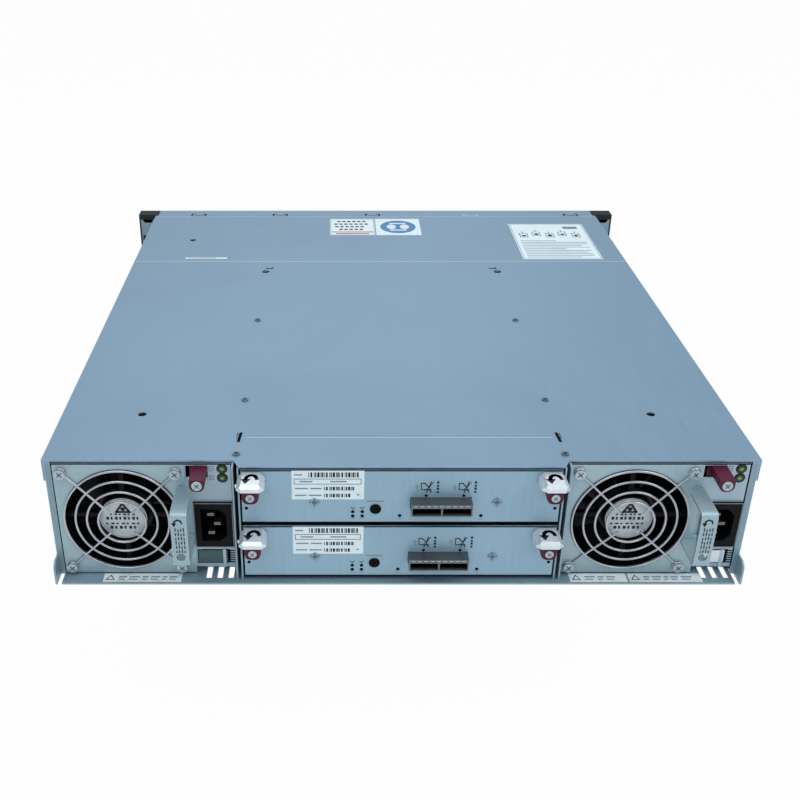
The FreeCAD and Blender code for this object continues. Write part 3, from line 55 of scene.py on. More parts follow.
class NodeSheet:
    """Adds and links nodes in one material or group."""

    def __init__(self, tree: bpy.types.NodeTree) -> None:
        """Keep the tree that the nodes go into.

        Args:
            tree: node tree of a material or a group.
        """
        self.tree = tree

    def add(self, kind: str, values: Optional[Dict[str, object]] = None,
            **settings: object) -> bpy.types.Node:
        """Add a node.

        Args:
            kind: Blender's node type.
            values: input values by socket name.
            settings: properties of the node.

        Returns:
            The new node.
        """
        node = self.tree.nodes.new(kind)
        for name, value in settings.items():
            setattr(node, name, value)
        for name, value in (values or {}).items():
            node.inputs[name].default_value = value
        return node

    def link(self, source: bpy.types.NodeSocket, target: bpy.types.NodeSocket) -> None:
        """Link two sockets."""
        self.tree.links.new(source, target)

    def maths(self, operation: str, first: object, second: object) -> bpy.types.NodeSocket:
        """Add a maths node.

        Args:
            operation: name of the operation.
            first: socket or number.
            second: socket or number.

        Returns:
            The result socket, clamped to 0..1.
        """
        node = self.add("ShaderNodeMath", operation=operation, use_clamp=True)
        for socket, value in zip(node.inputs, (first, second)):
            if isinstance(value, bpy.types.NodeSocket):
                self.link(value, socket)
            else:
                socket.default_value = value
        return node.outputs[0]

    def blend(self, factor: bpy.types.NodeSocket, first: object, second: object) -> bpy.types.NodeSocket:
        """Mix two colours.

        Args:
            factor: mask socket.
            first: colour or socket where the mask is 0.
            second: colour or socket where the mask is 1.

        Returns:
            The mixed colour socket.
        """
        node = self.add("ShaderNodeMix", data_type="RGBA")
        self.link(factor, node.inputs[0])
        for socket, value in ((node.inputs[6], first), (node.inputs[7], second)):
            if isinstance(value, bpy.types.NodeSocket):
                self.link(value, socket)
            else:
                socket.default_value = (*value, 1.0)
        return node.outputs[2]

    def spread(self, value: bpy.types.NodeSocket, low: float, high: float) -> bpy.types.NodeSocket:
        """Map a 0..1 value onto a range.

        Args:
            value: socket to map.
            low: result at 0.
            high: result at 1.

        Returns:
            The mapped socket.
        """
        node = self.add("ShaderNodeMapRange", {"To Min": low, "To Max": high})
        self.link(value, node.inputs["Value"])
        return node.outputs["Result"]


def new_group(name: str, inputs: Dict[str, Tuple[str, object]],
              output: str) -> Tuple[NodeSheet, bpy.types.Node, bpy.types.Node]:
    """Start a shader node group.

    Args:
        name: name of the group.
        inputs: socket type and default value by socket name.
        output: name of its one value output.

    Returns:
        The sheet to build on, the group's input node and its output node.
    """
    tree = bpy.data.node_groups.new(name, "ShaderNodeTree")
    for socket, (kind, default) in inputs.items():
        made = tree.interface.new_socket(socket, in_out="INPUT", socket_type=kind)
        if default is not None:
            made.default_value = default
    tree.interface.new_socket(output, in_out="OUTPUT", socket_type="NodeSocketFloat")
    sheet = NodeSheet(tree)
    return sheet, sheet.add("NodeGroupInput"), sheet.add("NodeGroupOutput")


class Effects:
    """Shared surface effects, each built once as a node group."""

    def __init__(self) -> None:
        """Build the grain, wear and soiling groups."""
        self.grain = self._grain()
        self.wear = self._wear()
        self.soil = self._soil()

    def _grain(self) -> bpy.types.NodeTree:
        """Fine rolled or moulded grain.

        Returns:
            The group's tree.
        """
        sheet, entry, end = new_group("fine_grain", {
            "Vector": ("NodeSocketVector", None), "Stretch": ("NodeSocketVector", (1, 1, 1)),
            "Scale": ("NodeSocketFloat", 400.0)}, "Value")
        stretch = sheet.add("ShaderNodeVectorMath", operation="MULTIPLY")
        sheet.link(entry.outputs["Vector"], stretch.inputs[0])
        sheet.link(entry.outputs["Stretch"], stretch.inputs[1])
        noise = sheet.add("ShaderNodeTexNoise", {"Detail": 3.0, "Roughness": 0.6})
        sheet.link(stretch.outputs[0], noise.inputs["Vector"])
        sheet.link(entry.outputs["Scale"], noise.inputs["Scale"])
        sheet.link(noise.outputs["Fac"], end.inputs["Value"])
        return sheet.tree

    def _wear(self) -> bpy.types.NodeTree:
        """Rubbed outer edges, broken up by noise.

        Returns:
            The group's tree.
        """
        sheet, entry, end = new_group("rubbed_edges", {
            "Vector": ("NodeSocketVector", None), "Radius": ("NodeSocketFloat", 0.0008),
            "Gain": ("NodeSocketFloat", 3.0)}, "Mask")
        rounded = sheet.add("ShaderNodeBevel", samples=4)
        sheet.link(entry.outputs["Radius"], rounded.inputs["Radius"])
        flat = sheet.add("ShaderNodeNewGeometry")
        dot = sheet.add("ShaderNodeVectorMath", operation="DOT_PRODUCT")
        sheet.link(rounded.outputs[0], dot.inputs[0])
        sheet.link(flat.outputs["Normal"], dot.inputs[1])
        bend = sheet.maths("SUBTRACT", 1.0, dot.outputs["Value"])
        bend = sheet.maths("MULTIPLY", bend, entry.outputs["Gain"])
        noise = sheet.add("ShaderNodeTexNoise", {"Scale": 160.0, "Detail": 4.0})
        sheet.link(entry.outputs["Vector"], noise.inputs["Vector"])
        patch = sheet.spread(noise.outputs["Fac"], 0.1, 1.5)
        sheet.link(sheet.maths("MULTIPLY", bend, patch), end.inputs["Mask"])
        return sheet.tree

    def _soil(self) -> bpy.types.NodeTree:
        """Broad soft handling marks and dust.

        Returns:
            The group's tree.
        """
        sheet, entry, end = new_group("handling_marks", {
            "Vector": ("NodeSocketVector", None), "Scale": ("NodeSocketFloat", 14.0),
            "Amount": ("NodeSocketFloat", 0.5)}, "Mask")
        broad = sheet.add("ShaderNodeTexNoise", {"Detail": 5.0, "Distortion": 0.6})
        sheet.link(entry.outputs["Vector"], broad.inputs["Vector"])
        sheet.link(entry.outputs["Scale"], broad.inputs["Scale"])
        rise = sheet.add("ShaderNodeMapRange", {"From Min": 0.42, "From Max": 0.78},
                         interpolation_type="SMOOTHSTEP")
        sheet.link(broad.outputs["Fac"], rise.inputs["Value"])
        mask = sheet.maths("MULTIPLY", rise.outputs["Result"], entry.outputs["Amount"])
        sheet.link(mask, end.inputs["Mask"])
        return sheet.tree


EFFECTS = Effects()


@dataclass(frozen=True)
class Finish:
    """A surface finish: its colour, sheen, grain, wear and marks."""

    name: str
    colour: Colour
    worn: Colour
    soiled: Colour
    metallic: float = 0.0
    roughness: float = 0.45
    spread: float = 0.12
    grain_scale: float = 500.0
    stretch: Tuple[float, float, float] = (1.0, 1.0, 1.0)
    grain_depth: float = 0.1
    edge: float = 0.0008
    gain: float = 3.0
    soil_scale: float = 14.0
    soil: float = 0.4
    coat: float = 0.0
    gloss: float = 0.5

    def material(self) -> bpy.types.Material:
        """Build the finish once.

        Returns:
            The finish's material.
        """
        name = f"{self.name}_finish"
        if name in bpy.data.materials:
            return bpy.data.materials[name]
        made = bpy.data.materials.new(name)
        made.use_nodes = True
        sheet = NodeSheet(made.node_tree)
        shader = made.node_tree.nodes["Principled BSDF"]
        shader.inputs["Metallic"].default_value = self.metallic
        shader.inputs["Coat Weight"].default_value = self.coat
        shader.inputs["Specular IOR Level"].default_value = self.gloss
        place = sheet.add("ShaderNodeTexCoord").outputs["Object"]
        grain = self._group(sheet, EFFECTS.grain, place, Scale=self.grain_scale, Stretch=self.stretch)
        wear = self._group(sheet, EFFECTS.wear, place, Radius=self.edge, Gain=self.gain)
        soil = self._group(sheet, EFFECTS.soil, place, Scale=self.soil_scale, Amount=self.soil)
        dark = tuple(c * 0.9 for c in self.colour)
        light = tuple(min(1.0, c * 1.08) for c in self.colour)
        colour = sheet.blend(grain, dark, light)
        colour = sheet.blend(soil, colour, self.soiled)
        colour = sheet.blend(wear, colour, self.worn)
        sheet.link(colour, shader.inputs["Base Color"])
        rough = sheet.spread(grain, self.roughness - self.spread, self.roughness + self.spread)
        sheet.link(rough, shader.inputs["Roughness"])
        bump = sheet.add("ShaderNodeBump", {"Strength": self.grain_depth, "Distance": 0.0002})
        sheet.link(grain, bump.inputs["Height"])
        sheet.link(bump.outputs["Normal"], shader.inputs["Normal"])
        return made

    @staticmethod
    def _group(sheet: NodeSheet, tree: bpy.types.NodeTree, place: bpy.types.NodeSocket,
               **values: object) -> bpy.types.NodeSocket:
        """Place one shared effect.

        Args:
            sheet: sheet of the material.
            tree: the effect's group.
            place: coordinates it reads.
            values: its input values by name.

        Returns:
            The effect's output socket.
        """
        node = sheet.add("ShaderNodeGroup", node_tree=tree)
        sheet.link(place, node.inputs["Vector"])
        for name, value in values.items():
            node.inputs[name].default_value = value
        return node.outputs[0]


def steel(name: str, colour: Colour, roughness: float = 0.42,
          stretch: Tuple[float, float, float] = (1, 0.05, 1), **more: object) -> Finish:
    """A plated steel sheet with a rolled grain.

    Args:
        name: finish name.
        colour: base colour.
        roughness: mean roughness.
        stretch: grain direction.
        more: other fields of the finish.

    Returns:
        The finish.
    """
    worn = tuple(min(1.0, c * 1.5 + 0.12) for c in colour)
    soiled = tuple(c * 0.86 for c in colour)
    return Finish(name, colour, worn, soiled, metallic=0.35, roughness=roughness, stretch=stretch, gloss=0.15,
                  **more)


def moulding(name: str, colour: Colour, roughness: float = 0.45, **more: object) -> Finish:
    """A moulded plastic with a fine even grain.

    Args:
        name: finish name.
        colour: base colour.
        roughness: mean roughness.
        more: other fields of the finish.

    Returns:
        The finish.
    """
    worn = tuple(min(1.0, c * 1.4 + 0.03) for c in colour)
    soiled = tuple(c * 0.9 + 0.003 for c in colour)
    return Finish(name, colour, worn, soiled, roughness=roughness, grain_scale=900.0, edge=0.0004, gain=1.5,
                  **more)


class Shade(Enum):
    """Every finish on the shelf."""

    COVER = steel("cover_steel", (0.23, 0.362, 0.49), 0.45, soil_scale=6.0, soil=0.5)
    CHASSIS = steel("chassis_steel", (0.25, 0.37, 0.44), 0.42)
    MODULE = steel("module_steel", (0.3, 0.465, 0.585), 0.42, (1, 1, 0.05), soil_scale=20.0)
    POWER = steel("power_steel", (0.38, 0.515, 0.61), 0.42, (1, 1, 0.05), soil_scale=20.0)
    PLATE = steel("plate_steel", (0.35, 0.49, 0.55), 0.38, (1, 1, 0.05))
    # Bright plate of the ejector levers; the same colour is the painted bright reflection in module 2's lower
    # window.
    BRIGHT_AND_REFLECTION = Finish("bright_plate_and_reflection", (0.72, 0.8, 0.86), (0.95, 0.97, 1), (0.5, 0.58, 0.64), metallic=0.4,
                    roughness=0.3, spread=0.05, grain_depth=0.04, edge=0.0004, gain=1.0, soil_scale=60.0)
    WIRE = Finish("nickel_wire", (0.46, 0.48, 0.53), (0.66, 0.68, 0.72), (0.24, 0.25, 0.28), metallic=0.8,
                  roughness=0.25, spread=0.08, edge=0.0003, soil_scale=60.0)
    SCREW = Finish("screw_steel", (0.42, 0.51, 0.57), (0.85, 0.88, 0.9), (0.3, 0.33, 0.36), metallic=0.8,
                   roughness=0.32, edge=0.0003, soil_scale=80.0)
    DARK_SCREW = Finish("dark_screw", (0.1, 0.16, 0.22), (0.4, 0.48, 0.54), (0.05, 0.08, 0.1), metallic=0.6,
                        roughness=0.4, edge=0.0003, soil_scale=80.0)
    CAGE = Finish("port_cage_metal", (0.13, 0.15, 0.16), (0.45, 0.48, 0.5), (0.07, 0.08, 0.08), metallic=0.7,
                  roughness=0.36, edge=0.0004, soil_scale=40.0)
    BOARD = Finish("board_green", (0.02, 0.14, 0.07), (0.1, 0.3, 0.15), (0.01, 0.08, 0.04), roughness=0.35,
                   grain_scale=260.0, grain_depth=0.3, soil_scale=90.0, soil=0.7)
    CONNECTOR = moulding("connector_black", (0.012, 0.014, 0.018))
    INLET = moulding("inlet_black", (0.003, 0.004, 0.005), 0.5, gloss=0.12)
    CAP = moulding("ear_cap_black", (0.012, 0.016, 0.022), 0.65, gloss=0.3)
    BLANK = moulding("blank_grey", (0.1, 0.115, 0.13), 0.6)
    FAN = moulding("fan_black", (0.004, 0.004, 0.006), 0.4, gloss=0.12)
    ROTOR = moulding("rotor_black", (0.008, 0.008, 0.012), 0.34, gloss=0.25)
    RED = moulding("release_red", (0.085, 0.005, 0.028), 0.5, gloss=0.3)
    ALLOY = Finish("disk_alloy", (0.5, 0.52, 0.55), (0.8, 0.8, 0.82), (0.35, 0.36, 0.38), metallic=0.8)
    # Inlet pins, darkened with painted shade for the deep inlet cavity they sit in.
    BRASS_SHADED = Finish("pin_brass", (0.14, 0.14, 0.14), (0.4, 0.4, 0.4), (0.06, 0.06, 0.055), metallic=0.9,
                   roughness=0.3)
    LENS = Finish("lens_green", (0.012, 0.035, 0.012), (0.05, 0.09, 0.03), (0.008, 0.02, 0.008),
                  roughness=0.25, spread=0.04, gloss=0.4)
    LENS_MARK = Finish("lens_mark", (0.2, 0.34, 0.1), (0.3, 0.4, 0.15), (0.15, 0.22, 0.08), roughness=0.3)
    PAPER = Finish("label_paper", (0.74, 0.9, 1.0), (0.6, 0.66, 0.72), (0.6, 0.68, 0.76), roughness=0.5,
                   soil_scale=50.0, soil=0.3, grain_depth=0.05)
    SILVER = Finish("label_silver", (0.5, 0.58, 0.62), (0.3, 0.34, 0.36), (0.26, 0.31, 0.34), metallic=0.3,
                    roughness=0.35, soil_scale=140.0, soil=0.7)
    TINT = Finish("shelf_sticker", (0.75, 0.84, 0.87), (0.4, 0.42, 0.44), (0.42, 0.54, 0.6), roughness=0.4,
                  soil_scale=120.0, soil=0.6)
    INK = Finish("black_ink", (0.008, 0.01, 0.014), (0.05, 0.05, 0.06), (0.03, 0.035, 0.04), roughness=0.5,
                 gloss=0.2)
    GREY_INK = Finish("grey_ink", (0.16, 0.22, 0.28), (0.2, 0.24, 0.3), (0.24, 0.3, 0.36), roughness=0.5)
    RED_INK = Finish("red_ink", (0.5, 0.05, 0.05), (0.6, 0.2, 0.2), (0.4, 0.08, 0.08), roughness=0.5)
    BLUE_INK = Finish("blue_ink", (0.05, 0.2, 0.5), (0.12, 0.3, 0.55), (0.05, 0.18, 0.42), roughness=0.5)
    # Near-black painted shade for holes, slots, gaps and the deep insides of the ports.
    HOLLOW_SHADE = Finish("painted_hollow_shade", (0.003, 0.004, 0.005), (0.01, 0.01, 0.01), (0.005, 0.005, 0.005),
                    roughness=0.7, gloss=0.05)
    # Painted highlight, with some wear, along lit edges, seams and lips.
    SEAM_HIGHLIGHT = Finish("seam_highlight_and_wear", (0.42, 0.56, 0.66), (0.6, 0.7, 0.8), (0.34, 0.46, 0.56), metallic=0.3)
    # Dark teal painted reflection in a lower window's recessed surface.
    REFLECTION_TEAL = Finish("window_reflection_teal", (0.03, 0.1, 0.12), (0.1, 0.2, 0.2), (0.02, 0.06, 0.07), roughness=0.3)


@dataclass
class Panel:
    """A flat place on the shelf: an origin, a direction across and a direction up, in metres."""

    origin: Vector
    across: Vector
    up: Vector

    @property
    def out(self) -> Vector:
        """Direction out of the surface."""
        return self.across.cross(self.up)

    def point(self, x: float, y: float, lift: float) -> Vector:
        """A place on the panel.

        Args:
            x: millimetres across.
            y: millimetres up.
            lift: millimetres out of the surface.

        Returns:
            The point in the row's frame.
        """
        return self.origin + (self.across * x + self.up * y + self.out * lift) * MM


def rear_panel(x: float, y: float, z: float) -> Panel:
    """Panel that faces the rear, seen with x growing to the viewer's right.

    Args:
        x: origin in millimetres.
        y: origin in millimetres.
        z: origin in millimetres.

    Returns:
        The panel.
    """
    return Panel(Vector((x, y, z)) * MM, Vector((-1, 0, 0)), Vector((0, 0, 1)))


def top_panel(x: float, y: float, z: float) -> Panel:
    """Panel that faces up, read from the rear.

    Args:
        x: origin in millimetres.
        y: origin in millimetres.
        z: origin in millimetres.

    Returns:
        The panel.
    """
    return Panel(Vector((x, y, z)) * MM, Vector((-1, 0, 0)), Vector((0, -1, 0)))


class Sticker:
    """Thin printed or pressed shapes gathered into one mesh."""

    def __init__(self, name: str, panel: Panel, base: float = 0.0) -> None:
        """Start an empty sheet of shapes.

        Args:
            name: name of the finished piece.
            panel: where its shapes lie.
            base: millimetres from the surface to the underside of the first layer.
        """
        self.name = name
        self.panel = panel
        self.base = base
        self.mesh = bmesh.new()
        self.shades: List[Shade] = []

    def slot(self, shade: Shade) -> int:
        """Index of a finish, added when it is new."""
        if shade not in self.shades:
            self.shades.append(shade)
        return self.shades.index(shade)

    def shape(self, outline: Sequence[Point], shade: Shade, low: float = 0.0, thick: float = 0.08) -> None:
        """Add a flat prism.

        Args:
            outline: corners in millimetres, counter-clockwise seen from outside.
            shade: its finish.
            low: millimetres above the base.
            thick: its thickness in millimetres.
        """
        lift = self.base + low
        corners = [self.mesh.verts.new(self.panel.point(x, y, lift)) for x, y in outline]
        face = self.mesh.faces.new(corners)
        face.material_index = self.slot(shade)
        made = bmesh.ops.extrude_face_region(self.mesh, geom=[face], use_keep_orig=True)
        top = [item for item in made["geom"] if isinstance(item, bmesh.types.BMVert)]
        bmesh.ops.translate(self.mesh, verts=top, vec=self.panel.out * thick * MM)

    def block(self, x: float, y: float, width: float, height: float, shade: Shade, low: float = 0.0,
              thick: float = 0.08) -> None:
        """Add a rectangle by its lower left corner.

        Args:
            x: left edge in millimetres.
            y: lower edge in millimetres.
            width: millimetres across.
            height: millimetres up.
            shade: its finish.
            low: millimetres above the base.
            thick: its thickness in millimetres.
        """
        self.shape([(x, y), (x + width, y), (x + width, y + height), (x, y + height)], shade, low, thick)

    def disc(self, x: float, y: float, radius: float, shade: Shade, low: float = 0.0, thick: float = 0.08,
             squash: float = 1.0, sides: int = 20) -> None:
        """Add a disc or an ellipse.

        Args:
            x: middle in millimetres.
            y: middle in millimetres.
            radius: half width in millimetres.
            shade: its finish.
            low: millimetres above the base.
            thick: its thickness in millimetres.
            squash: height as a share of the width.
            sides: number of sides.
        """
        turns = [math.tau * index / sides for index in range(sides)]
        rim = [(x + radius * math.cos(a), y + squash * radius * math.sin(a)) for a in turns]
        self.shape(rim, shade, low, thick)

    def stroke(self, points: Sequence[Point], width: float, shade: Shade, low: float = 0.0,
               thick: float = 0.08) -> None:
        """Add a line with square ends along some points.

        Args:
            points: places on the line in millimetres.
            width: its width in millimetres.
            shade: its finish.
            low: millimetres above the base.
            thick: its thickness in millimetres.
        """
        for (x0, y0), (x1, y1) in zip(points, points[1:]):
            length = math.hypot(x1 - x0, y1 - y0)
            dx, dy = (x1 - x0) / length * width / 2, (y1 - y0) / length * width / 2
            self.shape([(x0 - dx + dy, y0 - dy - dx), (x1 + dx + dy, y1 + dy - dx),
                        (x1 + dx - dy, y1 + dy + dx), (x0 - dx - dy, y0 - dy + dx)], shade, low, thick)

    def ring(self, x: float, y: float, inner: float, outer: float, shade: Shade, low: float = 0.0,
             thick: float = 0.08, sides: int = 24, squash: float = 1.0) -> None:
        """Add a flat ring.

        Args:
            x: middle in millimetres.
            y: middle in millimetres.
            inner: inner radius in millimetres.
            outer: outer radius in millimetres.
            shade: its finish.
            low: millimetres above the base.
            thick: its thickness in millimetres.
            sides: number of sides.
            squash: height as a share of the width.
        """
        turns = [math.tau * index / sides for index in range(sides + 1)]
        for a, b in zip(turns, turns[1:]):
            self.shape([(x + r * math.cos(t), y + squash * r * math.sin(t))
                        for r, t in ((inner, a), (outer, a), (outer, b), (inner, b))], shade, low, thick)

    def finish(self, body: str) -> bpy.types.Object:
        """Turn the shapes into a piece that rides on a body.

        Args:
            body: name of the body it moves with.

        Returns:
            The finished object.
        """
        bmesh.ops.recalc_face_normals(self.mesh, faces=self.mesh.faces)
        return settle(self.name, self.mesh, [shade.value for shade in self.shades], body)


def settle(name: str, mesh: bmesh.types.BMesh, finishes: Iterable[Finish], body: str) -> bpy.types.Object:
    """Make a mesh into an object with its finishes, riding on a body.

    Args:
        name: name of the piece.
        mesh: its mesh, which is freed.
        finishes: its finishes in slot order.
        body: body it moves with.

    Returns:
        The new object.
    """
    data = bpy.data.meshes.new(name)
    mesh.to_mesh(data)
    mesh.free()
    for finish in finishes:
        data.materials.append(finish.material())
    made = bpy.data.objects.new(name, data)
    bpy.context.scene.collection.objects.link(made)
    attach(made, body)
    LOG.info("%s rides on %s", name, body)
    return made


FACE_REAR, FACE_IO, COVER_TOP = 233.0, 240.5, 87.3
POWER_EDGES = {1: 217.9, 2: -105.3}
IO_BASES = {1: 45.6, 2: 4.0}
SIDES = {"left": 1, "right": -1}


@dataclass
class Cover:
    """Top covers: labels, screws' recesses and the front lip's marks."""

    screw_x: float = 102.8
    screw_rows: Tuple[float, ...] = (7.0, 79.0, 214.0)
    recess: float = 2.3

    def build(self) -> None:
        """Make the prints and screw recesses of the top covers."""
        self.side_label()
        self.centre_label()
        self.strip_label()
        self.screw_marks()
        self.edge_marks()
        self.vent_shade_discs()

    def vent_shade_discs(self) -> None:
        """Painted shade: dark discs just under the four cover openings, standing for the shade inside the
        bay.
        """
        for name, row, reach in (("rear", 59.0, 170.0), ("front", 404.0, 177.0)):
            shade_card = Sticker(f"vent_shade_disc_{name}", top_panel(0, FACE_REAR, COVER_TOP - 0.9), 0.0)
            for side in (1, -1):
                shade_card.disc(side * reach, row, 2.95, Shade.HOLLOW_SHADE, 0.0, 0.06, sides=24)
            shade_card.finish("chassis")

    def edge_marks(self) -> None:
        """Painted shade in the hook gaps along the front lip and in the half-covered holes beside the seam;
        painted highlight and wear along the seam.
        """
        marks = Sticker("cover_edge_marks", top_panel(0, FACE_REAR, COVER_TOP), 0.01)
        # Hook gaps drawn in painted shade; the fourth one is a painted highlight.
        for x in (-180.0, -97.0, -3.0, 97.0, 199.0):
            shade = Shade.SEAM_HIGHLIGHT if x == 97.0 else Shade.HOLLOW_SHADE
            for side in (1, -1):
                outer = x + side * 6.8
                marks.stroke([(outer, 477.0), (outer, 482.6), (x + side * 4.6, 482.6)], 1.5, shade, 0.0, 0.04)
            marks.block(x - 4.6, 476.6, 9.2, 1.2, shade, 0.0, 0.04)
        # Painted highlights, with wear, along the seam, the front lip and the joggle line.
        marks.block(-222, 345.7, 444, 1.4, Shade.SEAM_HIGHLIGHT, 0.0, 0.04)
        marks.block(-221, 475.2, 442, 0.8, Shade.SEAM_HIGHLIGHT, 0.0, 0.03)
        marks.block(-98, 27.4, 196, 0.7, Shade.SEAM_HIGHLIGHT, 0.0, 0.03)
        # Painted shade in the slots at the joggle line's ends and in the crescents of the half-covered holes.
        for side in (1, -1):
            x = side * self.screw_x
            marks.stroke([(x, 23.2), (x - side * 0.8, 33.4)], 2.0, Shade.HOLLOW_SHADE, 0.0, 0.04)
            for middle, row in ((x - side * 3.2, 331.0), (x, 321.6)):
                arc = [(middle + 3.0 * math.cos(t), row + 3.0 * math.sin(t))
                       for t in (-2.6, -2.0, -1.4, -0.8, -0.2)]
                marks.stroke(arc, 1.5, Shade.HOLLOW_SHADE, 0.0, 0.04)
        marks.finish("chassis")

    def side_label(self) -> None:
        """Tall white label with generic block drawings, near the front of one side."""
        card = Sticker("cover_side_label", top_panel(-131, FACE_REAR - 352, COVER_TOP), 0.02)
        card.block(0, 0, 73, 99, Shade.PAPER)
        card.stroke([(1.2, 1.2), (71.8, 1.2), (71.8, 97.8), (1.2, 97.8), (1.2, 1.2)], 0.5, Shade.GREY_INK,
                    0.09, 0.03)
        for column in range(5):
            x, y = 7 + column * 12.6, 60 + 4 * (column % 2)
            card.stroke([(x, y), (x + 7, y), (x + 7, y + 11), (x, y + 11), (x, y)], 0.9, Shade.GREY_INK,
                        0.09, 0.03)
            card.block(x + 1.8, y + 2, 3.6, 4 + column % 3, Shade.INK, 0.09, 0.03)
            card.stroke([(x + 3.5, y + 11), (x + 3.5, y + 16)], 0.9, Shade.GREY_INK, 0.09, 0.03)
        card.block(52, 84, 14, 7, Shade.GREY_INK, 0.09, 0.03)
        for row, length in enumerate((50, 62, 62, 58, 62, 40, 62, 55, 62, 62, 34)):
            card.block(5, 5 + row * 4.4, length, 1.3, Shade.GREY_INK, 0.09, 0.03)
        card.finish("chassis")

    def centre_label(self) -> None:
        """Two-part label near the front edge."""
        card = Sticker("cover_centre_label", top_panel(46, FACE_REAR - 418, COVER_TOP), 0.02)
        card.block(0, 0, 44, 49, Shade.PAPER)
        card.block(45, 0, 44, 49, Shade.PAPER)
        card.stroke([(0.8, 0.8), (43.2, 0.8), (43.2, 48.2), (0.8, 48.2), (0.8, 0.8)], 0.4, Shade.GREY_INK,
                    0.09, 0.03)
        card.block(1.5, 8, 41, 2.2, Shade.RED_INK, 0.09, 0.03)
        card.block(6, 3, 32, 2.6, Shade.RED_INK, 0.09, 0.03)
        for row, length in enumerate((26, 34, 36, 30)):
            for part in range(length // 5):
                card.block(4 + (36 - length) / 2 + part * 5, 15 + row * 8, 3.4, 3.4, Shade.INK, 0.09, 0.03)
        card.disc(67, 24.5, 17.5, Shade.BLUE_INK, 0.09, 0.03, squash=1.08, sides=40)
        for x in (60.5, 73.5):
            card.disc(x, 24.5, 4.6, Shade.PAPER, 0.13, 0.03, squash=1.5)
        card.block(59, 13, 16, 3.2, Shade.PAPER, 0.13, 0.03)
        card.block(59, 33, 16, 3.2, Shade.PAPER, 0.13, 0.03)
        card.finish("chassis")

    def strip_label(self) -> None:
        """Thin light strip on the front cover."""
        card = Sticker("cover_strip_label", top_panel(178, FACE_REAR - 353, COVER_TOP), 0.02)
        card.block(0, 0, 38, 3.6, Shade.PAPER)
        card.block(2, 1.2, 26, 1.1, Shade.GREY_INK, 0.09, 0.03)
        card.finish("chassis")

    def screw_marks(self) -> None:
        """Cross recesses in the cover screws, drawn in painted shade, with a dark ring on each head."""
        marks = Sticker("cover_screw_marks", top_panel(0, FACE_REAR, COVER_TOP), 0.8)
        for row in self.screw_rows:
            for x in (self.screw_x, -self.screw_x):
                marks.ring(x, row, 1.0, 2.35, Shade.DARK_SCREW, 0.01, 0.03, 16)
                for angle in (0.5, 0.5 + math.pi / 2):
                    dx, dy = math.cos(angle) * self.recess / 2, math.sin(angle) * self.recess / 2
                    marks.stroke([(x - dx, row - dy), (x + dx, row + dy)], 0.6, Shade.HOLLOW_SHADE, 0.05, 0.03)
        marks.finish("chassis")


def cross_screw(name: str, panel: Panel, body: str, radius: float = 3.35, rise: float = 1.0) -> None:
    """Model a domed screw head with a cross recess.

    Args:
        name: name of the piece.
        panel: its middle and directions.
        body: body it rides on.
        radius: head radius in millimetres.
        rise: head height in millimetres.
    """
    mesh = bmesh.new()
    bmesh.ops.create_cone(mesh, cap_ends=True, segments=28, radius1=radius * MM, radius2=radius * MM,
                          depth=rise * MM)
    bmesh.ops.translate(mesh, verts=mesh.verts, vec=(0, 0, rise * MM / 2))
    rim = [edge for edge in mesh.edges if all(vert.co.z > rise * MM * 0.9 for vert in edge.verts)]
    bmesh.ops.bevel(mesh, geom=rim, offset=rise * MM * 0.6, segments=3, profile=0.5, affect="EDGES",
                    material=-1)
    turn = Matrix((panel.across, panel.up, panel.out)).transposed().to_4x4()
    bmesh.ops.transform(mesh, matrix=Matrix.Translation(panel.origin) @ turn, verts=mesh.verts)
    settle(name, mesh, [Shade.SCREW.value], body)
    # The cross recess is drawn with dark strokes: painted shade.
    cross = Sticker(f"{name}_cross", panel, rise + 0.01)
    for angle in (math.pi / 4, 3 * math.pi / 4):
        dx, dy = math.cos(angle) * radius * 0.5, math.sin(angle) * radius * 0.5
        cross.stroke([(-dx, -dy), (dx, dy)], radius * 0.24, Shade.DARK_SCREW, 0.0, 0.03)
    cross.finish(body)


def edge_shade(node: str, face: float, body: str, top: float, bottom: float, side: float,
               notch: Tuple[float, float] = (0.0, 0.0)) -> None:
    """Dark shade in the gaps along a module face's edges.

    Args:
        node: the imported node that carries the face.
        face: row of the face in millimetres.
        body: body it rides on.
        top: width of the upper strip in millimetres.
        bottom: width of the lower strip in millimetres.
        side: width of both upright strips in millimetres.
        notch: width and height of the face's cut lower right corner, in millimetres.
    """
    low, high = (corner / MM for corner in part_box(node))
    half, height = (high.x - low.x) / 2, high.z - low.z
    card = Sticker(f"{node}_edge_shade", rear_panel((low.x + high.x) / 2, face, low.z), 0.01)
    for x, foot in ((-half, 0.0), (half - side, notch[1])):
        card.block(x, foot, side, height - foot, Shade.HOLLOW_SHADE, 0.0, 0.04)
    card.block(-half, height - top, 2 * half, top, Shade.HOLLOW_SHADE, 0.0, 0.04)
    card.block(-half, 0, 2 * half - notch[0], bottom, Shade.HOLLOW_SHADE, 0.0, 0.04)
    card.finish(body)


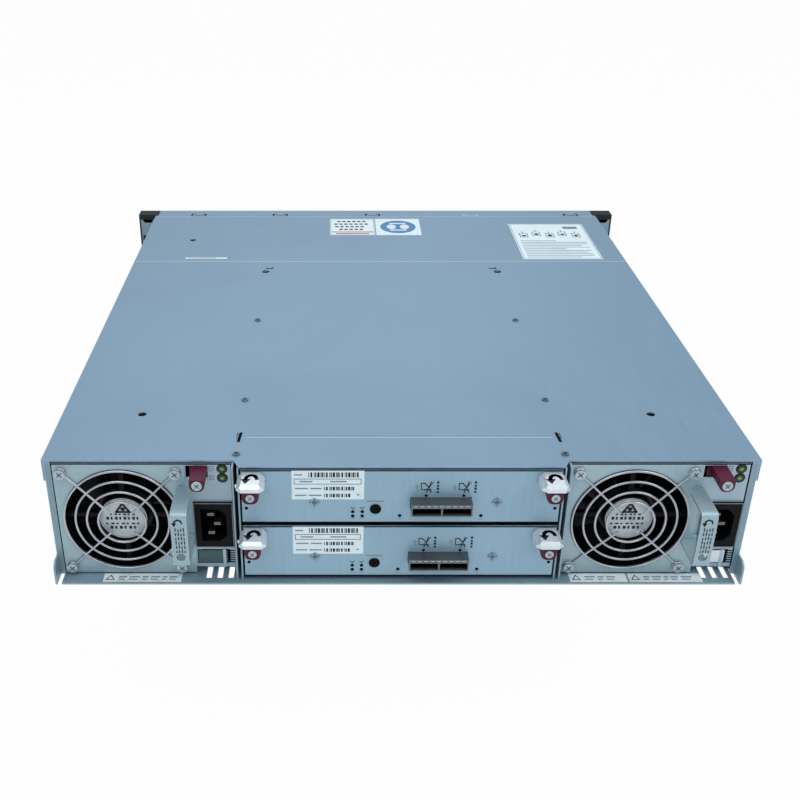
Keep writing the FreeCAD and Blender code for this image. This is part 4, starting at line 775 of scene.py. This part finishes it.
@dataclass
class PowerModule:
    """Dressing of one power module: hub label, screws, lamps, inlet rim, windows and strap print."""

    number: int
    edge: float
    fan_u: float = 41.5
    fan_s: float = 43.2
    handle_u: float = 81.4
    latch_u: float = 92.5
    inlet_u: float = 99.4
    lamp_u: float = 106.4
    handle_reach: float = 28.0
    latch_reach: float = 17.0
    screw_half: float = 35.75
    foot_notch: Tuple[float, float] = (30.2, 4.6)

    @property
    def body(self) -> str:
        """Body that the fixed parts ride on."""
        return f"power_module_{self.number}"

    def panel(self, u: float, z: float, out: float = 0.0) -> Panel:
        """Panel on the module's face.

        Args:
            u: millimetres from the module's left edge.
            z: height in millimetres.
            out: millimetres proud of the face.

        Returns:
            The panel.
        """
        return rear_panel(self.edge - u, FACE_REAR + out, z)

    def build(self) -> None:
        """Make every dressed piece of the module."""
        self.hub_label()
        self.handle_print()
        self.face_print()
        self.inlet_rim()
        self.lower_window()
        self.guard_screw_marks()
        edge_shade(f"psu_case_{self.number}", FACE_REAR, self.body, 0.9, 0.5, 0.8, self.foot_notch)
        cross_screw(f"power_latch_screw_{self.number}", self.panel(self.latch_u, 79.2, self.latch_reach),
                    f"power_latch_{self.number}", 3.3, 0.7)

    def hub_label(self) -> None:
        """Silver disc on the fan's motor with generic marks."""
        card = Sticker(f"fan_hub_label_{self.number}", self.panel(self.fan_u, self.fan_s, -1.2), 0.02)
        card.disc(0, 0, 15.2, Shade.SILVER, sides=48)
        card.stroke([(-4.2, 4.8), (0, 11.2), (4.2, 4.8), (-4.2, 4.8)], 1.5, Shade.INK, 0.1, 0.03)
        card.disc(0, 7.0, 1.5, Shade.INK, 0.1, 0.03, sides=12)
        for row, (half, parts) in enumerate(((8.5, 6), (11.0, 8), (11.5, 7), (9.0, 6))):
            for part in range(parts):
                x = -half + part * 2 * half / parts
                width = 2 * half / parts * (0.45 + 0.2 * ((part + row) % 2))
                card.block(x, 2.4 - row * 3.5, width, 1.2 + row % 2, Shade.INK, 0.1, 0.03)
        card.ring(0, 0, 14.2, 14.6, Shade.GREY_INK, 0.1, 0.03, 40)
        card.finish(self.body)

    def handle_print(self) -> None:
        """Printed strip and curved arrow on the strap handle."""
        strap = self.panel(self.handle_u, 45.9, self.handle_reach)
        card = Sticker(f"handle_print_{self.number}", strap, 0.02)
        arc = [(2.4 * math.cos(a) - 0.4, 13.2 + 2.6 * math.sin(a)) for a in (0.1, 0.8, 1.6, 2.4, 3.0)]
        card.stroke(arc, 1.0, Shade.INK)
        card.shape([(-4.4, 13.6), (-2.8, 10.6), (-1.2, 13.6)], Shade.INK)
        for column, x in enumerate((-2.6, -0.9, 0.8, 2.5)):
            for part in range(6):
                card.block(x, -8.6 + part * 3.2, 0.7, 1.6 + 0.5 * ((part + column) % 3), Shade.INK)
        card.finish(self.body)

    def face_print(self) -> None:
        """Lamp bezels, lens marks and small generic drawings beside them."""
        card = Sticker(f"power_face_print_{self.number}", self.panel(self.lamp_u, 81.1, 0.0), 0.02)
        for drop in (0.0, 6.7):
            card.ring(0, -drop, 2.55, 3.5, Shade.INK)
            card.stroke([(-9.5, 1.5 - drop), (-5.5, 1.5 - drop), (-5.5, -1.5 - drop), (-9.5, -1.5 - drop),
                         (-9.5, 1.5 - drop)], 0.35, Shade.GREY_INK)
            card.block(-1.1, -0.9 - drop, 2.2, 1.8, Shade.LENS_MARK, 0.62, 0.04)
        card.stroke([(-8.6, 0), (-6.4, 0)], 0.4, Shade.GREY_INK)
        card.stroke([(-8.4, -7.6), (-7.5, -5.9), (-6.6, -7.6)], 0.4, Shade.GREY_INK)
        card.finish(self.body)

    def inlet_rim(self) -> None:
        """Light moulded line round the mains inlet."""
        rim = Sticker(f"inlet_rim_{self.number}", self.panel(self.inlet_u, 39.5, 1.5), 0.01)
        half, tall = 12.2, 16.7
        rim.stroke([(-half, tall), (half, tall), (half, -tall), (-half, -tall), (-half, tall)], 0.5,
                   Shade.CAGE, thick=0.3)
        rim.finish(self.body)

    def lower_window(self) -> None:
        """Window under the inlet with its frame and a small louvred patch, drawn in painted reflection,
        highlight and shade.
        """
        card = Sticker(f"lower_window_{self.number}", self.panel(self.inlet_u, 14.4, 0.0), 0.02)
        # The window is a painted reflection: dark teal on module 1, bright on module 2.
        shade = Shade.REFLECTION_TEAL if self.number == 1 else Shade.BRIGHT_AND_REFLECTION
        # Frame of painted shade round the window's recess.
        card.block(-12, -5.6, 20, 10.8, Shade.HOLLOW_SHADE)
        card.block(-11.4, -5.0, 18.8, 9.6, shade, 0.1, 0.05)
        # Painted highlight on the window's edge.
        card.stroke([(5.6, -7.4), (5.6, 4.6)], 1.8, Shade.SEAM_HIGHLIGHT, 0.16, 0.4)
        # Louvre slots in painted shade.
        for row in range(6):
            card.block(8.6, -5.2 + row * 1.8, 3.6, 0.9, Shade.HOLLOW_SHADE)
        card.finish(self.body)

    def guard_screw_marks(self) -> None:
        """Cross recesses in the four guard screws, drawn as dark strokes of painted shade."""
        marks = Sticker(f"guard_screw_marks_{self.number}", self.panel(self.fan_u, self.fan_s, 0.0), 0.0)
        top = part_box(f"psu_guard_screws_{self.number}")[1].y / MM - FACE_REAR
        for x in (-self.screw_half, self.screw_half):
            for y in (-self.screw_half, self.screw_half):
                for angle in (0.7, 0.7 + math.pi / 2):
                    dx, dy = math.cos(angle) * 1.8, math.sin(angle) * 1.8
                    cut = [(x - dx, y - dy), (x + dx, y + dy)]
                    marks.stroke(cut, 0.9, Shade.DARK_SCREW, top + 0.01, 0.04)
        marks.finish(self.body)


@dataclass
class IoModule:
    """Dressing of one input/output module: label, marks, lamps, arrows and latch screws."""

    number: int
    base: float
    lever_x: float = 92.7
    lever_roof: float = 37.8
    top: float = 41.7

    @property
    def body(self) -> str:
        """Body that the fixed parts ride on."""
        return f"io_module_{self.number}"

    def panel(self, x: float, z: float, out: float = 0.0) -> Panel:
        """Panel on the module's face.

        Args:
            x: row position in millimetres.
            z: height above the module's underside in millimetres.
            out: millimetres proud of the face.

        Returns:
            The panel.
        """
        return rear_panel(x, FACE_IO + out, self.base + z)

    def build(self) -> None:
        """Make every dressed piece of the module."""
        self.label()
        self.marks()
        self.port_drawings()
        self.port_liners()
        edge_shade(f"io_tray_{self.number}", FACE_IO, self.body, 0.8, 0.9, 0.4)
        for side, sign in SIDES.items():
            self.lever_arrow(side, sign)
            cross_screw(f"io_release_screw_{side}_{self.number}", self.panel(sign * self.lever_x, 28.6, 15.5),
                        f"io_release_{side}_{self.number}", 2.7, 0.8)

    def label(self) -> None:
        """White label with generic bars."""
        card = Sticker(f"io_label_{self.number}", self.panel(68, self.top - 24), 0.02)
        card.block(0, 0, 45, 21, Shade.PAPER)
        widths = (0.5, 1.1, 0.4, 0.8, 1.4, 0.5, 0.9)
        for x0, x1, y, height in ((10.5, 42, 16.2, 3.6), (20, 38, 6.7, 2.6), (20, 35.5, 1.6, 2.6)):
            x, index = x0, 0
            while x < x1:
                width = widths[index % 7]
                card.block(x, y, width, height, Shade.INK, 0.09, 0.03)
                x += width + widths[(index * 3 + 1) % 7] * 0.7
                index += 1
        card.stroke([(1.6, 15), (43, 15), (43, 11.3), (1.6, 11.3), (1.6, 15)], 0.35, Shade.INK, 0.09, 0.03)
        for x, y, width in ((1.6, 17.6, 5), (5, 12.7, 8), (24, 12.7, 10), (2, 7.6, 8), (11.5, 7.6, 7),
                            (2, 2.6, 7), (10.5, 2.6, 8), (40.5, 3, 1.6)):
            card.block(x, y, width, 0.9, Shade.GREY_INK, 0.09, 0.03)
        card.finish(self.body)

    def marks(self) -> None:
        """Rivets, lamp holes, small icons and the jack's rim; the holes and the jack's opening are drawn in
        painted shade.
        """
        card = Sticker(f"io_marks_{self.number}", self.panel(0, self.top), 0.02)
        for x in (-54.0, 60.0):
            card.disc(x, -26, 2.6, Shade.DARK_SCREW, 0.0, 0.5, sides=18)
            card.ring(x, -26, 1.7, 2.3, Shade.MODULE, 0.5, 0.05, sides=16)
            card.stroke([(x - 3.1, -26), (x + 3.1, -26)], 0.6, Shade.DARK_SCREW, 0.5, 0.06)
            card.stroke([(x, -29.1), (x, -22.9)], 0.6, Shade.DARK_SCREW, 0.5, 0.06)
        for x in (-30.0, -24.0):
            for drop in (33.2, 36.4):
                card.disc(x, -drop, 1.15, Shade.HOLLOW_SHADE, sides=14)
            card.stroke([(x - 1.2, -29.8), (x, -31.2), (x + 1.2, -29.8)], 0.4, Shade.INK)
            card.stroke([(x - 1.2, -38.3), (x + 1.2, -38.3)], 0.35, Shade.GREY_INK)
        for x in (-0.5, 50.6):
            card.disc(x, -36.2, 1.15, Shade.HOLLOW_SHADE, sides=14)
            card.stroke([(x - 1.4, -38.6), (x + 1.4, -38.6)], 0.3, Shade.GREY_INK)
        card.ring(-15.8, -31, 1.75, 3.6, Shade.HOLLOW_SHADE, 0.5, 0.04)
        card.disc(-15.8, -31, 1.78, Shade.HOLLOW_SHADE, 0.2, 0.2)
        card.stroke([(-21, -25.4), (-11, -25.4)], 0.7, Shade.GREY_INK)
        for x in (-96.6, 96.6):
            card.disc(x, -30.6, 1.1, Shade.HOLLOW_SHADE, sides=12)
        card.finish(self.body)

    def port_drawings(self) -> None:
        """Lamp dots in painted shade and printed link drawings above the two ports."""
        card = Sticker(f"port_drawings_{self.number}", self.panel(0, self.top), 0.02)
        for x in (15.6, 39.0):
            card.disc(x, -21.2, 1.0, Shade.HOLLOW_SHADE, sides=14)
            card.stroke([(x + 0.2, -18.8), (x + 0.8, -17.2), (x + 2.0, -16.8)], 0.6, Shade.INK)
            left, right = x - 3.2, x + 2.8
            card.stroke([(left, -12.2), (x - 1, -12.2), (x + 1.6, -15.2), (right, -11.2)], 0.7, Shade.INK)
            card.stroke([(left, -12.2), (left, -16.8), (right, -16.8), (right, -18.8)], 0.5, Shade.INK)
            card.stroke([(x + 4.2, -11.2), (x + 1.6, -15.2), (x - 1.0, -17.4)], 0.45, Shade.INK)
            card.stroke([(x + 1.6, -15.2), (x + 2.4, -18)], 0.4, Shade.INK)
            card.stroke([(x - 7.4, -14.6), (x - 4.2, -14.6)], 0.3, Shade.GREY_INK)
            card.stroke([(x - 5.8, -13), (x - 5.8, -16.6), (x - 4.4, -17.4)], 0.35, Shade.GREY_INK)
            for row in range(4):
                card.block(x + 6.4, -19.2 + row * 2.3, 1.4, 1.3 + 0.3 * (row % 2), Shade.INK)
        card.block(8, -22.6, 34, 0.3, Shade.GREY_INK)
        card.finish(self.body)

    def port_liners(self) -> None:
        """Painted shade inside the two ports, where the dark contact bodies sit, and a dashed painted
        highlight on the pressed line along the cage's lip.
        """
        mesh = bmesh.new()
        for x in (-15.65, -34.35):
            made = bmesh.ops.create_cube(mesh, size=1.0)
            size = Matrix.Diagonal((17.6 * MM, 31.0 * MM, 5.1 * MM, 1.0))
            middle = Matrix.Translation(Vector((x, FACE_IO - 9.0, self.base + 14.0)) * MM)
            bmesh.ops.transform(mesh, matrix=middle @ size, verts=made["verts"])
        mouths = [face for face in mesh.faces if face.normal.y > 0.9]
        bmesh.ops.delete(mesh, geom=mouths, context="FACES")
        bmesh.ops.solidify(mesh, geom=mesh.faces[:], thickness=0.1 * MM)
        settle(f"port_liners_{self.number}", mesh, [Shade.HOLLOW_SHADE.value], self.body)
        # Dashed painted highlight along the cage's lip.
        line = Sticker(f"cage_lip_line_{self.number}", self.panel(-25, 18.2, 9.0), 0.02)
        for part in range(9):
            line.block(-17.5 + part * 4.0, -0.3, 2.6, 0.5, Shade.SEAM_HIGHLIGHT)
        line.finish(self.body)

    def lever_arrow(self, side: str, sign: int) -> None:
        """Curved arrow on the flat top of an ejector lever.

        Args:
            side: left or right, as seen from the rear.
            sign: 1 on the left and -1 on the right.
        """
        panel = top_panel(sign * self.lever_x, FACE_IO + 8.0, self.base + self.lever_roof)
        panel.up = Vector((0, -1, 0))
        card = Sticker(f"lever_arrow_{side}_{self.number}", panel, 0.02)
        arc = [(3.4 * math.cos(a) + 0.6, -0.6 + 4.6 * math.sin(a)) for a in
               (0.15, 0.6, 1.05, 1.5, 1.95, 2.4, 2.85, 3.14)]
        card.stroke(arc, 2.3, Shade.INK)
        card.shape([(-6.0, -0.2), (-2.8, -5.6), (0.4, -0.2)], Shade.INK)
        card.finish(f"ejector_{side}_{self.number}")


@dataclass
class Chassis:
    """Dressing of the chassis: shelf stickers, the front bays' vents and the backs of the ears."""

    shelf_y: float = 238.9
    shelf_z: float = 1.2
    bays: int = 25
    carrier_bays: Tuple[int, int] = (3, 12)
    bay_pitch: float = 17.5

    def build(self) -> None:
        """Make the stickers on the rear shelf and the front bays' vents."""
        self.shelf_sticker("shelf_sticker_left", 192, 51, 1)
        self.shelf_sticker("shelf_sticker_middle", -111.6, 37.5, 2)
        self.shelf_sticker("shelf_sticker_right", -150.2, 47.6, 3)
        self.bay_vents()
        for name, side in SIDES.items():
            self.ear_back(name, side)

    def ear_back(self, name: str, side: int) -> None:
        """Black rim and snap lug seen behind a rack flange.

        Args:
            name: left or right, as seen from the rear.
            side: 1 on the left and -1 on the right.
        """
        mesh = bmesh.new()
        for x, z, width, height in ((231.0, 84.6, 17.0, 3.6), (235.6, 63.0, 6.0, 5.5),
                                    (240.4, 43.0, 1.2, 84.0)):
            made = bmesh.ops.create_cube(mesh, size=1.0)
            size = Matrix.Diagonal((width * MM, 0.8 * MM, height * MM, 1.0))
            middle = Matrix.Translation(Vector((side * x, -246.0, z)) * MM)
            bmesh.ops.transform(mesh, matrix=middle @ size, verts=made["verts"])
        bmesh.ops.bevel(mesh, geom=mesh.edges[:], offset=0.2 * MM, segments=2, profile=0.5, affect="EDGES",
                        material=-1)
        settle(f"ear_back_{name}", mesh, [Shade.CAP.value], "chassis")

    def shelf_sticker(self, name: str, x: float, width: float, seed: int) -> None:
        """Long narrow sticker on the shelf's lip with generic lines.

        Args:
            name: name of the piece.
            x: left end as seen from the rear, in millimetres.
            width: length in millimetres.
            seed: picks its pattern of marks.
        """
        card = Sticker(name, top_panel(x, self.shelf_y + 4.6, self.shelf_z), 0.02)
        card.block(0, 0, width, 9.0, Shade.TINT)
        card.stroke([(2, 2.5), (4.5, 7), (7, 2.5), (2, 2.5)], 0.6, Shade.INK, 0.09, 0.03)
        x0 = 10.0
        index = seed
        while x0 < width - 6:
            length = 3.0 + (index * 7 % 5)
            card.block(x0, 4.8, min(length, width - 3 - x0), 1.2, Shade.GREY_INK, 0.09, 0.03)
            card.block(x0, 2.4, min(length * 0.8, width - 3 - x0), 1.0, Shade.GREY_INK, 0.09, 0.03)
            x0 += length + 1.6
            index += 1
        card.finish("chassis")

    def bay_vents(self) -> None:
        """Rows of vent slots on the drive blanks' bezels, drawn as dark blocks of painted shade."""
        low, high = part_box("drive_blanks")
        panel = Panel(Vector((0, low.y, 0)), Vector((1, 0, 0)), Vector((0, 0, 1)))
        card = Sticker("bay_vents", panel, 0.01)
        for bay in range(self.bays):
            if bay in self.carrier_bays:
                continue
            x = (bay - (self.bays - 1) / 2) * self.bay_pitch
            for row in range(16):
                card.block(x - 5.2, 8 + row * 3.1, 10.4, 1.5, Shade.HOLLOW_SHADE)
        card.finish("chassis")


@dataclass
class Dressing:
    """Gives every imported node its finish."""

    by_slot: Dict[str, Shade] = field(default_factory=lambda: {
        "cover_steel": Shade.COVER, "chassis_steel": Shade.CHASSIS, "module_steel": Shade.MODULE,
        "cage_metal": Shade.CAGE, "guard_wire": Shade.WIRE, "screw_steel": Shade.SCREW,
        "board_green": Shade.BOARD, "connector_black": Shade.CONNECTOR, "cap_black": Shade.CAP,
        "blank_grey": Shade.BLANK, "fan_black": Shade.FAN, "release_red": Shade.RED,
        "disk_alloy": Shade.ALLOY, "pin_brass": Shade.BRASS_SHADED, "lens_green": Shade.LENS})
    by_prefix: Dict[str, Shade] = field(default_factory=lambda: {
        "psu_case": Shade.POWER, "psu_handle": Shade.PLATE, "io_lever": Shade.BRIGHT_AND_REFLECTION,
        "psu_inlet_1": Shade.INLET, "psu_inlet_2": Shade.INLET, "psu_fan_rotor": Shade.ROTOR,
        "cover_screws": Shade.DARK_SCREW})

    def build(self) -> None:
        """Assign the finishes."""
        for part in frame["record"]["subparts"]:
            shade = self.by_slot[part["material_slot"]]
            for prefix, other in self.by_prefix.items():
                if part["node"].startswith(prefix):
                    shade = other
            data = frame["nodes"][part["node"]].data
            data.materials.clear()
            data.materials.append(shade.value.material())
            LOG.info("%s is finished in %s", part["node"], shade.value.name)


@dataclass
class Studio:
    """Floor, soft lamps, pale surroundings and the camera."""

    lens: float = 47.5
    shift: float = 0.081
    place: Tuple[float, float, float] = (0.041, 0.792, 0.428)
    pitch: float = 28.1
    floor_depth: float = -0.15
    floor_white: float = 0.97

    def build(self) -> None:
        """Make the studio."""
        self.floor()
        self.surroundings()
        self.lamp("key_lamp", (0.4, 0.9, 1.5), 1.4, 10.0)
        self.lamp("fill_lamp", (-1.1, 0.5, 1.2), 1.2, 10.5)
        self.lamp("front_lamp", (0.1, -1.3, 1.1), 1.2, 4.0)
        self.camera()

    def floor(self) -> None:
        """Plain pale floor that reads as white to the camera and keeps the shadow."""
        mesh = bmesh.new()
        bmesh.ops.create_grid(mesh, x_segments=1, y_segments=1, size=6.0)
        bmesh.ops.translate(mesh, verts=mesh.verts, vec=(0, 0, self.floor_depth))
        data = bpy.data.meshes.new("floor")
        mesh.to_mesh(data)
        mesh.free()
        made = bpy.data.materials.new("pale_floor")
        made.use_nodes = True
        sheet = NodeSheet(made.node_tree)
        shader = made.node_tree.nodes["Principled BSDF"]
        shader.inputs["Base Color"].default_value = (0.9, 0.9, 0.9, 1)
        shader.inputs["Roughness"].default_value = 0.8
        glow = sheet.add("ShaderNodeEmission", {"Color": (1, 1, 1, 1), "Strength": 1.0})
        path = sheet.add("ShaderNodeLightPath")
        seen = sheet.maths("ADD", path.outputs["Is Camera Ray"], path.outputs["Is Glossy Ray"])
        share = sheet.maths("MULTIPLY", seen, self.floor_white)
        mixed = sheet.add("ShaderNodeMixShader")
        sheet.link(share, mixed.inputs[0])
        sheet.link(shader.outputs[0], mixed.inputs[1])
        sheet.link(glow.outputs[0], mixed.inputs[2])
        sheet.link(mixed.outputs[0], made.node_tree.nodes["Material Output"].inputs["Surface"])
        data.materials.append(made)
        made_floor = bpy.data.objects.new("floor", data)
        bpy.context.scene.collection.objects.link(made_floor)

    def surroundings(self) -> None:
        """White surroundings for the camera and for reflections, softer as a light."""
        world = bpy.data.worlds.new("studio")
        bpy.context.scene.world = world
        world.use_nodes = True
        sheet = NodeSheet(world.node_tree)
        base = world.node_tree.nodes["Background"]
        base.inputs["Color"].default_value = (0.94, 0.97, 1.0, 1)
        base.inputs["Strength"].default_value = 0.5
        white = sheet.add("ShaderNodeBackground", {"Color": (1, 1, 1, 1), "Strength": 1.0})
        path = sheet.add("ShaderNodeLightPath")
        seen = sheet.maths("ADD", path.outputs["Is Camera Ray"], path.outputs["Is Transmission Ray"])
        mixed = sheet.add("ShaderNodeMixShader")
        sheet.link(seen, mixed.inputs[0])
        sheet.link(base.outputs[0], mixed.inputs[1])
        sheet.link(white.outputs[0], mixed.inputs[2])
        sheet.link(mixed.outputs[0], world.node_tree.nodes["World Output"].inputs["Surface"])

    def lamp(self, name: str, place: Tuple[float, float, float], size: float, power: float) -> None:
        """Add a soft square lamp aimed at the object.

        Args:
            name: name of the lamp.
            place: its position in metres.
            size: its width in metres.
            power: watts.
        """
        data = bpy.data.lights.new(name, "AREA")
        data.size = size
        data.energy = power
        made = bpy.data.objects.new(name, data)
        made.location = place
        made.rotation_euler = (Vector((0, 0, 0.04)) - Vector(place)).to_track_quat("-Z", "Y").to_euler()
        bpy.context.scene.collection.objects.link(made)

    def camera(self) -> None:
        """Add the camera behind and above the shelf."""
        data = bpy.data.cameras.new("camera")
        data.lens = self.lens
        data.shift_x = self.shift
        made = bpy.data.objects.new("camera", data)
        made.location = self.place
        made.rotation_euler = (math.radians(90 - self.pitch), 0, math.radians(180))
        bpy.context.scene.collection.objects.link(made)
        bpy.context.scene.camera = made
        bpy.context.scene.view_settings.view_transform = "Standard"


def main() -> None:
    """Dress the shelf, build its sub-assemblies and set the studio up."""
    logging.basicConfig(level=logging.INFO, format="%(name)s: %(message)s")
    Dressing().build()
    Cover().build()
    Chassis().build()
    for number, edge in POWER_EDGES.items():
        PowerModule(number, edge).build()
    for number, base in IO_BASES.items():
        IoModule(number, base).build()
    Studio().build()


if __name__ == "__main__":
    main()
